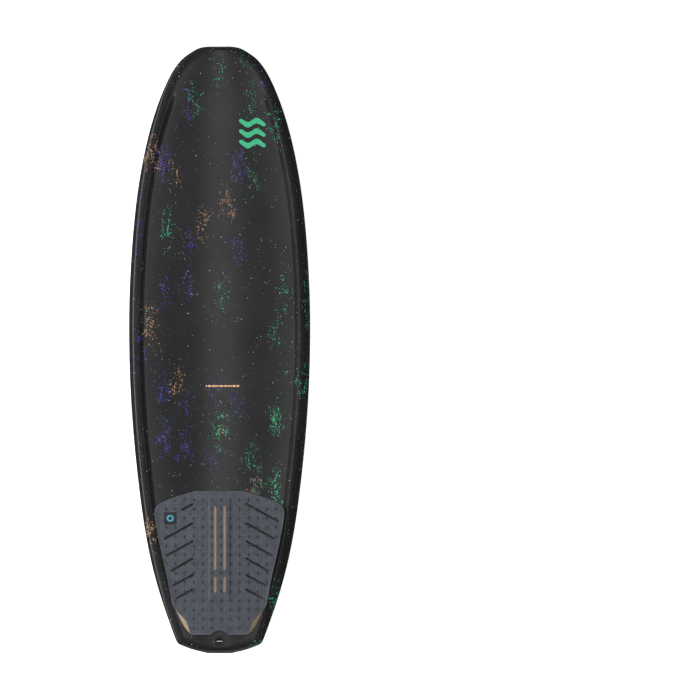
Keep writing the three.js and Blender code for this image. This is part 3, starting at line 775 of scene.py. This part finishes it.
def edge_columns(insets):
    """Columns on the right side at each row's distances from the outline, drawn together where it narrows."""
    half = half_width(ROWS)[:, None]
    slope = np.gradient(half[:, 0], ROWS)[:, None]
    insets = np.broadcast_to(np.asarray(insets, float), (len(ROWS), np.shape(insets)[-1]))
    stretch = np.minimum(np.sqrt(1 + slope**2), 0.8 * half / insets[:, -1:])
    return half - stretch * insets


def both_sides(right):
    return np.hstack([-right, np.zeros((len(right), 1)), right[:, ::-1]])


def deck_columns():
    rail = np.broadcast_to(EDGE[:-1], (len(ROWS), len(EDGE) - 1))
    ridge = band_at(ROWS)[:, None] + np.array([[-1.2, -0.4, 0, 0.4, 1, 2, 3.3, 5, 7, 9.5, 12, 15]])
    edge = edge_columns(np.hstack([rail, ridge]))
    spread = edge[:, -1:] * np.linspace(1, 0, 19)[None, 1:-1]
    return both_sides(np.hstack([edge, spread]))


def bottom_columns():
    """The bottom's columns also follow the channel's straight edges."""
    edge = edge_columns([*EDGE[:11], 18, 24, 32])
    last = edge[:, -1:]
    limit = np.minimum(CHANNEL["half"], 0.72 * last)
    panel = limit + (last - limit) * np.array([[0.8, 0.6, 0.4, 0.2, 0.08, 0.03]])
    channel = limit * np.array([[1, 0.97, 0.9, 0.8, 0.7, 0.6, 0.5, 0.4, 0.3, 0.2, 0.1, 0.03]])
    return both_sides(np.hstack([edge, panel, channel]))


def skin(name, xs, height, side, material, replaced, openings):
    """A laminate skin: the outer surface, and the same surface moved in by the skin's thickness."""
    ys = np.broadcast_to(ROWS[:, None], xs.shape)
    zs = height(xs, ys)
    border = np.ones(zs.shape, bool)
    border[1:-1, 1:-1] = False
    zs[border] = apex_at(ys)[border]
    outer = np.dstack([xs, ys, zs])
    normals = np.cross(np.gradient(outer, axis=1), -np.gradient(outer, axis=0)) * side
    normals[..., 2][border] = 0
    normals[0, :, :2], normals[-1, :, :2] = (0, 1), (0, -1)
    normals /= np.maximum(np.linalg.norm(normals, axis=-1, keepdims=True), 1e-9)
    inside = outer - normals * SKIN
    solid = plate(outer, inside) if side > 0 else plate(inside, outer)
    mesh = cut(solid, *(("DIFFERENCE", opening) for opening in openings))
    made = finish_piece(name, mesh, material, sharp=50)
    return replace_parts(made, replaced)


def surface_frame(height, x, y, reach, toe=0.0):
    """A frame on a surface: x across, y towards the nose along its slope, z upwards."""
    rise = float(height(x, y + reach) - height(x, y - reach))
    turn = Matrix.Rotation(math.radians(toe), 4, "Z") @ Matrix.Rotation(math.atan(rise / (2 * reach)), 4, "X")
    return Matrix.Translation((x, y, float(height(x, y)))) @ turn


def bottom_frame(x, y, toe):
    return surface_frame(bottom_height, x, y, SLOPE_REACH[0], toe)


def box_outline(box, side, grow):
    """A fin box's plan, anticlockwise: a long bar with a screw lobe on each side."""
    half, reach = box["width"] / 2 + grow, (box["length"] - box["width"]) / 2
    radius = LOBE["radius"] + grow
    meets = math.acos((half - LOBE["offset"]) / radius)
    lobes = {side: box["lobes"][0], -side: box["lobes"][1]}
    return np.vstack([
        arc(0, -reach, half, -math.pi, 0, ROUND),
        arc(LOBE["offset"], lobes[1], radius, -meets, meets, ROUND),
        arc(0, reach, half, 0, math.pi, ROUND),
        arc(-LOBE["offset"], lobes[-1], radius, math.pi - meets, math.pi + meets, ROUND),
    ])


fin_boxes = [
    ("left", SIDE_BOX, 1, bottom_frame(-SIDE_BOX_X, SIDE_BOX_Y, -SIDE_BOX_TOE)),
    ("right", SIDE_BOX, -1, bottom_frame(SIDE_BOX_X, SIDE_BOX_Y, SIDE_BOX_TOE)),
    ("centre", CENTRE_BOX, -1, bottom_frame(0, CENTRE_BOX_Y, 0)),
]
plug_frame = surface_frame(deck_height, 0, CUP["y"], SLOPE_REACH[1])
box_openings = [
    placed(prism(box_outline(box, side, FIT), OUTSIDE, box["depth"]), place)
    for _, box, side, place in fin_boxes
]
plug_hole = placed(prism(circle_outline(0, 0, CUP["radius"] + FIT), -CUP["depth"], CUP["depth"]), plug_frame)

skin("deck_surface", deck_columns(), deck_height, 1, deck_finish, "deck_skin", [plug_hole])
skin("bottom_surface", bottom_columns(), bottom_height, -1, bottom_finish, "bottom_skin", box_openings)


# ======== Fin boxes and grub screws ========
def patch_of_hull(place, reach_x, reach_y):
    """A block of the hull around a fin box, whose lower face is the bottom's own surface."""
    x0, y0 = place.translation.x, place.translation.y
    across = np.arange(x0 - reach_x, x0 + reach_x, PATCH_STEP)
    xs, ys = np.meshgrid(across, np.arange(y0 + reach_y, y0 - reach_y, -PATCH_STEP))
    return heights_plate(xs, ys, lambda x, y: bottom_height(x, y) + BLOCK_TALL, bottom_height)


def screw_place(box, side, k):
    """A grub screw in its lobe, leaning down towards the slot; its own z points out of the board."""
    across = side * (1 if k == 0 else -1)
    lean = Matrix.Rotation(math.radians(across * (180 - SCREW["tilt"])), 4, "Y")
    return Matrix.Translation((across * SCREW["offset"], box["lobes"][k], SCREW["sunk"])) @ lean


def screw_shape():
    """A threaded grub screw with a cone point and a hexagon socket, its top face at z = 0."""
    radius, length = SCREW["radius"], SCREW["length"]
    profile = [(0, -length), (radius - 1, -length), (radius - 0.35, 1 - length)]
    for z in np.arange(1.2 - length, -0.9, THREAD_PITCH):
        profile += [(radius - 0.35, z), (radius, z + THREAD_PITCH / 2)]
    profile += [(radius, -0.4), (radius - 0.4, 0), (0, 0)]
    socket = prism(circle_outline(0, 0, SCREW["socket"], 6), -SCREW["socket_depth"], 1)
    return cut(lathe(profile, 32), ("DIFFERENCE", socket))


screw_mesh = screw_shape()
for name, box, side, place in fin_boxes:
    slot_length, slot_width, slot_depth = box["slot"]
    reach = (slot_length - slot_width) / 2
    ends = ((0, box["shift"] - reach), (0, box["shift"] + reach))
    bore = prism(circle_outline(0, 0, SCREW["radius"] + FIT, 32), -SCREW["length"] * 1.15, 12)
    screws = [screw_place(box, side, k) for k in range(2)]
    mesh = cut(
        placed(prism(box_outline(box, side, 0), OUTSIDE, box["depth"]), place),
        ("INTERSECT", patch_of_hull(place, *PATCH_REACH)),
        ("DIFFERENCE", placed(prism(slot_outline(*ends, slot_width), OUTSIDE, slot_depth), place)),
        ("DIFFERENCE", placed(prism(slot_outline(*ends, slot_width + 1.6), OUTSIDE, SLOT_LIP), place)),
        *(("DIFFERENCE", placed(bore, place @ screw)) for screw in screws),
    )
    made = finish_piece(f"fin_box_{name}_shell", mesh, box_plastic)
    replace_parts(made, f"fin_box_{name}")
    for screw, end in zip(screws, ("front", "rear")):
        mesh = screw_mesh.copy()
        world = place @ screw
        mesh.transform(Matrix.Translation(world.translation * MM) @ world.to_3x3().to_4x4())
        made = finish_piece(
            f"grub_screw_{name}_{end}_fine", mesh, screw_steel, f"screw_{name}_{end}", 30
        )
        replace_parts(made, f"grub_screw_{name}_{end}")


# ======== Leash plug ========
def cup_profile():
    floor, lip, flange, inner = -CUP["depth"], CUP["top"], CUP["flange"], CUP["inner"]
    rim = arc(flange - 0.7, lip - 0.7, 0.7, 0, math.pi / 2, 5)
    mouth = arc(inner + 0.8, lip - 0.8, 0.8, math.pi / 2, math.pi, 5)
    foot, radius = floor - CUP["floor"], CUP["radius"]
    return [
        (0, foot), (radius - 0.5, foot), (radius, foot + 0.5), (radius, FIT), (flange, FIT),
        *rim.tolist(), *mouth.tolist(), (inner, floor + 0.8), (inner - 0.8, floor), (0, floor),
    ]


def rod(radius, length):
    """A round bar along x with domed ends."""
    dome = [(radius * math.sin(t), radius * 0.5 * (1 - math.cos(t))) for t in np.linspace(0, math.pi / 2, 5)]
    half = length / 2
    profile = [(r, d - half) for r, d in dome] + [(r, half - d) for r, d in dome[::-1]]
    turn = Matrix.Translation((0, 0, -PIN["below"])) @ Matrix.Rotation(math.pi / 2, 4, "Y")
    return placed(lathe(profile, 24), turn)


groove = placed(rod(PIN["radius"] + FIT, PIN["length"] + 2 * FIT), plug_frame)
cup_mesh = cut(placed(lathe(cup_profile(), 72), plug_frame), ("DIFFERENCE", groove))
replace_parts(finish_piece("leash_cup_fine", cup_mesh, cup_plastic, sharp=35), "leash_cup")
pin_mesh = raw_mesh("leash_pin_fine", *placed(rod(PIN["radius"], PIN["length"]), plug_frame))
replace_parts(finish_piece("leash_pin_fine", pin_mesh, pin_steel), "leash_pin")


# ======== Traction pad ========
def pad_half(y, column):
    rows = np.array(PAD_ROWS, float)
    return np.interp(-np.asarray(y, float), -rows[:, 0], rows[:, column])


def pad_lift(x, y):
    across = clamp01((ARCH["half"] - np.abs(x)) / ARCH["ramp"])
    front = clamp01((ARCH["front"] - y) / ARCH["end_ramp"])
    rear = clamp01((y - ARCH["rear"]) / (ARCH["end_ramp"] + 2))
    kick = KICK["height"] * clamp01((KICK["front"] - y) / KICK["ramp"])
    return np.maximum(ARCH["height"] * across * np.minimum(front, rear), kick)


def pad_outline(column):
    """The pad's plan, anticlockwise from its front left corner, with the plug's half-round notch."""
    right = centripetal([(row[column], row[0]) for row in PAD_ROWS], 110)
    left = right * (-1, 1)
    start = math.asin((PAD_REAR - NOTCH["y"]) / NOTCH["radius"])
    notch = arc(0, NOTCH["y"], NOTCH["radius"], math.pi - start, start, 24)
    front = np.column_stack([np.linspace(right[0, 0], left[0, 0], 30)[1:-1], np.full(28, float(PAD_FRONT))])
    return np.vstack([left, notch, right[::-1], front])


def inset_outline(outline, distance):
    """An anticlockwise outline moved in, with limited mitres at its corners."""
    before, after = outline - np.roll(outline, 1, axis=0), np.roll(outline, -1, axis=0) - outline
    before /= np.linalg.norm(before, axis=1, keepdims=True)
    after /= np.linalg.norm(after, axis=1, keepdims=True)
    normal = np.stack([-(before + after)[:, 1], (before + after)[:, 0]], axis=-1)
    normal /= np.linalg.norm(normal, axis=1, keepdims=True)
    cosine = np.maximum((normal * np.stack([-after[:, 1], after[:, 0]], axis=-1)).sum(1), 0.7)
    return outline + normal * (distance / cosine)[:, None]


def pad_slots(width):
    cutters = []
    for k, (start, end) in enumerate(SLOTS):
        left_start, left_end = SHORT_SLOT if k == 0 else (start, end)
        cutters.append(prism(slot_outline(start, end, width), 0, TALL))
        flipped = [(-x, y) for x, y in (left_end, left_start)]
        cutters.append(prism(slot_outline(*flipped, width), 0, TALL))
    return joined(*cutters)


def stripe_windows():
    end = STRIPES["width"] / 2
    return joined(*(
        prism(slot_outline((x, rear + end), (x, front - end), STRIPES["width"]), 0, TALL)
        for x in (-STRIPES["x"], STRIPES["x"])
        for front, rear in STRIPES["spans"]
    ))


def tile_lines(low, high, shift):
    """Grid lines across the moulded tiles: each groove's centre and edges, and each tile's middle."""
    first = math.floor((low - shift) / TILE)
    last = math.ceil((high - shift) / TILE)
    steps = (0, GROOVE / 2, TILE / 2, TILE - GROOVE / 2)
    return np.array([shift + k * TILE + step for k in range(first, last) for step in steps])


def tile_relief(x, y):
    """Depth of the moulded pattern: fine grooves, and a deeper diamond at every fourth crossing."""

    def nearest(value, shift, pitch):
        return np.abs((value - shift + pitch / 2) % pitch - pitch / 2)

    grooves = [nearest(x, TILE_SHIFT, TILE), nearest(y, PAD_ROW, TILE)]
    groove = clamp01(1 - np.minimum(*grooves) / (GROOVE / 2))
    stud = STUD_TILES * TILE
    diamond = nearest(x, TILE_SHIFT, stud) / STUD_HALF[0] + nearest(y, PAD_ROW, stud) / STUD_HALF[1]
    return GROOVE_DEPTH * groove + STUD_DEPTH * clamp01(1.0 - diamond)


def above_deck(height):
    """A surface at a steady height above the deck."""
    return lambda x, y: deck_height(x, y) + height


def pad_point(x, y, height):
    return np.stack([x, y, deck_height(x, y) + height + pad_lift(x, y)], axis=-1)


def hem_ring(outline):
    """The smooth border around the tiles: a closed ring with a rounded outer edge."""
    low, high = TOP
    profile = [
        (0, low), (0, high - 1.3), (0.5, high - 0.5), (1.4, high - 0.1), (2.5, high), (3.6, high - 0.2),
        (HEM["width"] - HEM["overlap"], high - 0.7), (HEM["width"], high - 0.9), (HEM["width"], low),
    ]
    rings = []
    for inset, height in profile:
        line = inset_outline(outline, inset)
        rings.append(pad_point(line[:, 0], line[:, 1], height))
    count, stations = len(outline), len(profile)
    faces = []
    for k in range(count):
        for s in range(stations):
            a, b = s * count + k, s * count + (k + 1) % count
            c, d = ((s + 1) % stations) * count + (k + 1) % count, ((s + 1) % stations) * count + k
            faces.append((a, b, c, d))
    return np.vstack(rings), faces


def share_grid(column, front, rear, rows=60, columns=81):
    """A plan grid that fills the pad's width between two rows."""
    ys = np.linspace(front, rear, rows)[:, None]
    xs = pad_half(ys, column) * np.linspace(-1, 1, columns)[None, :]
    return xs, np.broadcast_to(ys, xs.shape)


def padded(name, mesh, material, replaced, sharp=40):
    made = finish_piece(name, mesh, material, sharp=sharp)
    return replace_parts(made, replaced) if replaced else made


pad_edge = pad_outline(2)
notch_cutter = prism(circle_outline(0, NOTCH["y"], NOTCH["radius"]), 0, TALL)
widest = max(row[2] for row in PAD_ROWS)
tile_x, tile_y = np.meshgrid(
    tile_lines(-widest, widest, TILE_SHIFT), tile_lines(PAD_REAR, PAD_FRONT, PAD_ROW)[::-1]
)
field = plate(
    pad_point(tile_x, tile_y, TOP[1] - tile_relief(tile_x, tile_y)), pad_point(tile_x, tile_y, TOP[0])
)
field_edge = inset_outline(pad_edge, HEM["width"] - HEM["overlap"])
tiles = cut(
    field,
    ("INTERSECT", prism(field_edge, 0, TALL)),
    ("DIFFERENCE", pad_slots(SLOT_WIDTH)),
    ("DIFFERENCE", stripe_windows()),
)
padded("pad_tile_sheet", tiles, tile_foam, "pad_top", sharp=60)
padded("pad_hem", raw_mesh("pad_hem", *hem_ring(pad_edge)), grey_foam, None, sharp=60)

base_x, base_y = share_grid(1, PAD_FRONT, PAD_REAR, 90)
base = heights_plate(base_x, base_y, above_deck(BASE[1]), above_deck(BASE[0]))
base_mesh = cut(base, ("DIFFERENCE", joined(notch_cutter, pad_slots(SLOT_WIDTH + SLOT_SET_BACK))))
padded("pad_base_sheet", base_mesh, tan_foam, "pad_base")


def wedge_top(x, y):
    base_half, top_half = pad_half(y, 1), pad_half(y, 2)
    bevel = clamp01((base_half - np.abs(x)) / np.maximum(base_half - top_half, LEAST))
    return deck_height(x, y) + LIFTED + np.maximum(LEAST, pad_lift(x, y) * bevel)


wedge_x, wedge_y = share_grid(1, KICK["front"] - 5, PAD_REAR, 48, 121)
wedge = heights_plate(wedge_x, wedge_y, wedge_top, above_deck(LIFTED))
padded("pad_kick_block", cut(wedge, ("DIFFERENCE", notch_cutter)), tan_foam, "pad_kick_wedge")


def arch_top(x, y):
    return deck_height(x, y) + LIFTED + np.maximum(LEAST, pad_lift(x, y))


core_half = ARCH["half"] - 1
core_rows = np.linspace(ARCH["front"] - 10, ARCH["rear"] + 12, 90)
core = heights_plate(
    *np.meshgrid(np.linspace(-core_half, core_half, 31), core_rows), arch_top, above_deck(LIFTED)
)
padded("pad_arch_bar", cut(core), tan_foam, "pad_arch_core")


# ======== Printed marks and the badge: thin layers that follow the surface under them ========
def layer(name, outlines, surface, outward, inward, material, cell=7.0):
    """A thin closed layer on a surface, cut into cells so that it follows it. Outlines are anticlockwise."""
    bm = bmesh.new()
    for outline in outlines:
        bm.faces.new([bm.verts.new((x, y, 0)) for x, y in outline])
    points = np.vstack(outlines)
    for axis in (0, 1):
        normal = (1, 0, 0) if axis == 0 else (0, 1, 0)
        first = math.floor(points[:, axis].min() / cell) + 1
        for at in np.arange(first * cell, points[:, axis].max(), cell):
            geometry = [*bm.verts, *bm.edges, *bm.faces]
            where = tuple(at * n for n in normal)
            bmesh.ops.bisect_plane(bm, geom=geometry, plane_co=where, plane_no=normal)
    extruded = bmesh.ops.extrude_face_region(bm, geom=bm.faces[:])["geom"]
    raised = {v for v in extruded if isinstance(v, bmesh.types.BMVert)}
    verts = list(bm.verts)
    plan = np.array([v.co[:2] for v in verts])
    heights = surface(plan[:, 0], plan[:, 1])
    for v, (x, y), z in zip(verts, plan, heights):
        v.co = Vector((x, y, z + (outward if v in raised else inward))) * MM
    bmesh.ops.recalc_face_normals(bm, faces=bm.faces)
    mesh = bpy.data.meshes.new(name)
    bm.to_mesh(mesh)
    bm.free()
    return finish_piece(name, mesh, material)


def wave_bar(x, y, width, thickness, swell):
    """A wavy band, anticlockwise: one and a half swells long."""
    t = np.linspace(-1, 1, 49)
    line = y + swell * np.sin(1.5 * math.pi * t)
    xs = x + t * width / 2
    taper = thickness / 2 * np.sqrt(np.maximum(1 - np.abs(t) ** 6, 0.02))
    return np.vstack([np.column_stack([xs, line - taper]), np.column_stack([xs, line + taper])[::-1]])


def waves(x, y, width, height):
    """Three wavy bands above each other."""
    return [wave_bar(x, y + k * height * 0.36, width, height * 0.19, height * 0.07) for k in (-1, 0, 1)]


def dashes(x, y, width, height, parts):
    """A row of plain short bars of uneven lengths in place of lettering."""
    weights = [2 + (k * 7) % 4 for k in range(parts)]
    gap = height * 0.45
    unit = (width - gap * (parts - 1)) / sum(weights)
    outlines, left = [], x
    for weight in weights:
        outlines.append(rounded_box(left + unit * weight / 2, y, unit * weight, height, height * 0.2, 2))
        left += unit * weight + gap
    return outlines


def half_rings(x, y, outer, inner):
    """A flat ring as two halves, since an outline can't have a hole."""
    halves = ((0, math.pi), (math.pi, 2 * math.pi))
    return [np.vstack([arc(x, y, outer, a, b, 12), arc(x, y, inner, b, a, 12)]) for a, b in halves]


def print_block():
    """The underside's printed block: two rules, rows of plain bars, a ring and a wavy underline."""
    right, left = -50, -148
    rows = [
        (-16, 52, 6, 8), (-48, 18, 4, 3), (-72, 88, 2.4, 11), (-81, 70, 2.4, 9), (-88, 50, 2.4, 7),
        (-110, 62, 3, 9), (-119, 22, 3, 4), (-136, 20, 3, 4),
    ]
    outlines = []
    for y, width, height, parts in rows:
        start = left if y == -48 else right - width
        outlines += dashes(start, y, width, height, parts)
    middle = (left + right) / 2
    outlines += [rounded_box(middle, y, right - left, 0.9, 0.3, 2) for y in (-60, -102)]
    outlines += half_rings(-142, -114, 5, 3.2)
    return [*outlines, wave_bar(-74, -158, 44, 2.4, 3.5)]


LABEL = (126, 123, 97, 17)
layer("deck_wave_mark", waves(84, 554, 68, 74), deck_height, 0.1, -0.4, mint_ink)
layer("deck_dashes", dashes(-35, -92, 85, 4.5, 11), deck_height, 0.1, -0.4, peach_ink)
layer("bottom_wave_mark", waves(0, 500, 86, 98), bottom_height, -0.1, 0.4, mint_ink)
layer("bottom_dashes", print_block(), bottom_height, -0.1, 0.4, peach_ink)
glow_x, glow_y, glow_width, glow_height = LABEL
glow = halo_ink("label_glow", *LABEL, VIOLET, LACQUER)
halo = rounded_box(glow_x, glow_y, glow_width + 2 * HALO_REACH, glow_height + 2 * HALO_REACH, 14, 10)
layer("bottom_label_glow", [halo], bottom_height, -0.06, 0.4, glow)
layer("bottom_label", [rounded_box(*LABEL, 8.4, 10)], bottom_height, -0.12, 0.4, mint_ink)
label_marks = dashes(glow_x - 34, glow_y, 68, 6, 7)
layer("bottom_label_dashes", label_marks, bottom_height, -0.16, 0.4, badge_rubber)

on_pad = above_deck(TOP[1] + FIT)
badge_outline = rounded_box(BADGE["x"], BADGE["y"], BADGE["side"], BADGE["side"], 2.5)
badge = layer("pad_badge_plate", [badge_outline], on_pad, BADGE["thickness"], 0, badge_rubber)
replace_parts(badge, "pad_badge")
badge_marks = half_rings(BADGE["x"], BADGE["y"], 9, 4.8)
layer("pad_badge_mark", badge_marks, on_pad, BADGE["thickness"] + 0.2, 0.4, cyan_ink)


# ======== Stage, lights and camera ========
low, high = cad_box
length = high.y - low.y
centre = (low + high) / 2


# The floor's own glow, and how far out in metres it rises: strength beside the board, and beyond.
FLOOR_FADE = (0.8, 2.0)
FLOOR_GLOW = (0.75, 1.0)


def floor_material():
    g = Graph("studio_floor", Specular_IOR_Level=0.0, Emission_Color=(1, 1, 1))
    point = g.place(scale=1.0)
    g.colour(g.mix(g.noise(point, 3.0, 2.0), (0.93, 0.93, 0.93), (0.95, 0.95, 0.95)))
    g.set(g.shader, "Roughness", 1.0)
    distance = g.vector("LENGTH", point)
    g.set(g.shader, "Emission Strength", g.spread(distance, *FLOOR_FADE, *FLOOR_GLOW))
    return g.material


def stage():
    bm = bmesh.new()
    bmesh.ops.create_grid(bm, x_segments=8, y_segments=8, size=length * 12)
    mesh = bpy.data.meshes.new("studio_floor")
    bm.to_mesh(mesh)
    bm.free()
    mesh.materials.append(floor_material())
    floor = bpy.data.objects.new("studio_floor", mesh)
    floor.location.z = low.z - 0.0005
    floor.visible_glossy = False
    link(floor)


# Panels: name, place, width and depth in metres, and power. These light the board's faces and the floor.
FACE_LIGHTS = [
    ("overhead_soft", (0, 0, 5), 7.0, 7.0, 228),
    ("left_key", (-3.2, -0.5, 2.6), 2.2, 3.4, 170),
]
# These only show in the gloss, and leave its right side dark.
GLOSS_LIGHTS = [
    ("overhead_strip", (0, 0, 3.2), 0.46, 3.2, 3.6),
    ("left_panel", (-2.9, 0, 2.75), 6.0, 3.4, 9),
    ("left_low_panel", (-4.5, 0, 1.2), 6.0, 1.2, 45),
    ("nose_panel", (-1.5, 5, 2.1), 10.0, 2.6, 55),
    ("tail_panel", (1.5, -5, 2.1), 10.0, 2.6, 55),
]
ROOM_GREY = (0.05, 0.05, 0.052, 1)


def area_light(name, place, width, depth, power, gloss):
    """A panel facing the board that shows in its gloss or lights its faces, but not both."""
    data = bpy.data.lights.new(name, "AREA")
    data.shape = "RECTANGLE"
    data.size, data.size_y, data.energy = width, depth, power
    light = bpy.data.objects.new(name, data)
    light.location = place
    light.rotation_euler = (centre - Vector(place)).to_track_quat("-Z", "Y").to_euler()
    light.visible_diffuse, light.visible_glossy = not gloss, gloss
    light.visible_camera = False
    link(light)


def studio():
    """The panels, in a dim room that the camera sees as white."""
    for panel in FACE_LIGHTS:
        area_light(*panel, gloss=False)
    for panel in GLOSS_LIGHTS:
        area_light(*panel, gloss=True)
    world = bpy.data.worlds.new("studio")
    bpy.context.scene.world = world
    world.use_nodes = True
    nodes, links = world.node_tree.nodes, world.node_tree.links
    room = nodes["Background"]
    room.inputs["Color"].default_value = ROOM_GREY
    white = nodes.new("ShaderNodeBackground")
    white.inputs["Color"].default_value = (1, 1, 1, 1)
    pick = nodes.new("ShaderNodeMixShader")
    links.new(nodes.new("ShaderNodeLightPath").outputs["Is Camera Ray"], pick.inputs[0])
    links.new(room.outputs[0], pick.inputs[1])
    links.new(white.outputs[0], pick.inputs[2])
    links.new(pick.outputs[0], nodes["World Output"].inputs["Surface"])


# The board fills this share of the frame's height, with its centreline this share across it.
LENGTH_SHARE = 0.8663
CENTRELINE = 0.3136
# A lens this long, in millimetres, leaves the sight lines all but parallel.
LENS = 800


def camera():
    """Straight down on the deck, nose up, from far off."""
    data = bpy.data.cameras.new("catalogue_camera")
    data.lens = LENS
    seen = length / LENGTH_SHARE
    made = bpy.data.objects.new("catalogue_camera", data)
    aside, away = (0.5 - CENTRELINE) * seen, seen * LENS / data.sensor_width
    made.location = (centre.x + aside, centre.y, centre.z + away)
    link(made)
    bpy.context.scene.camera = made


stage()
studio()
camera()
bpy.context.scene.view_settings.view_transform = "Standard"
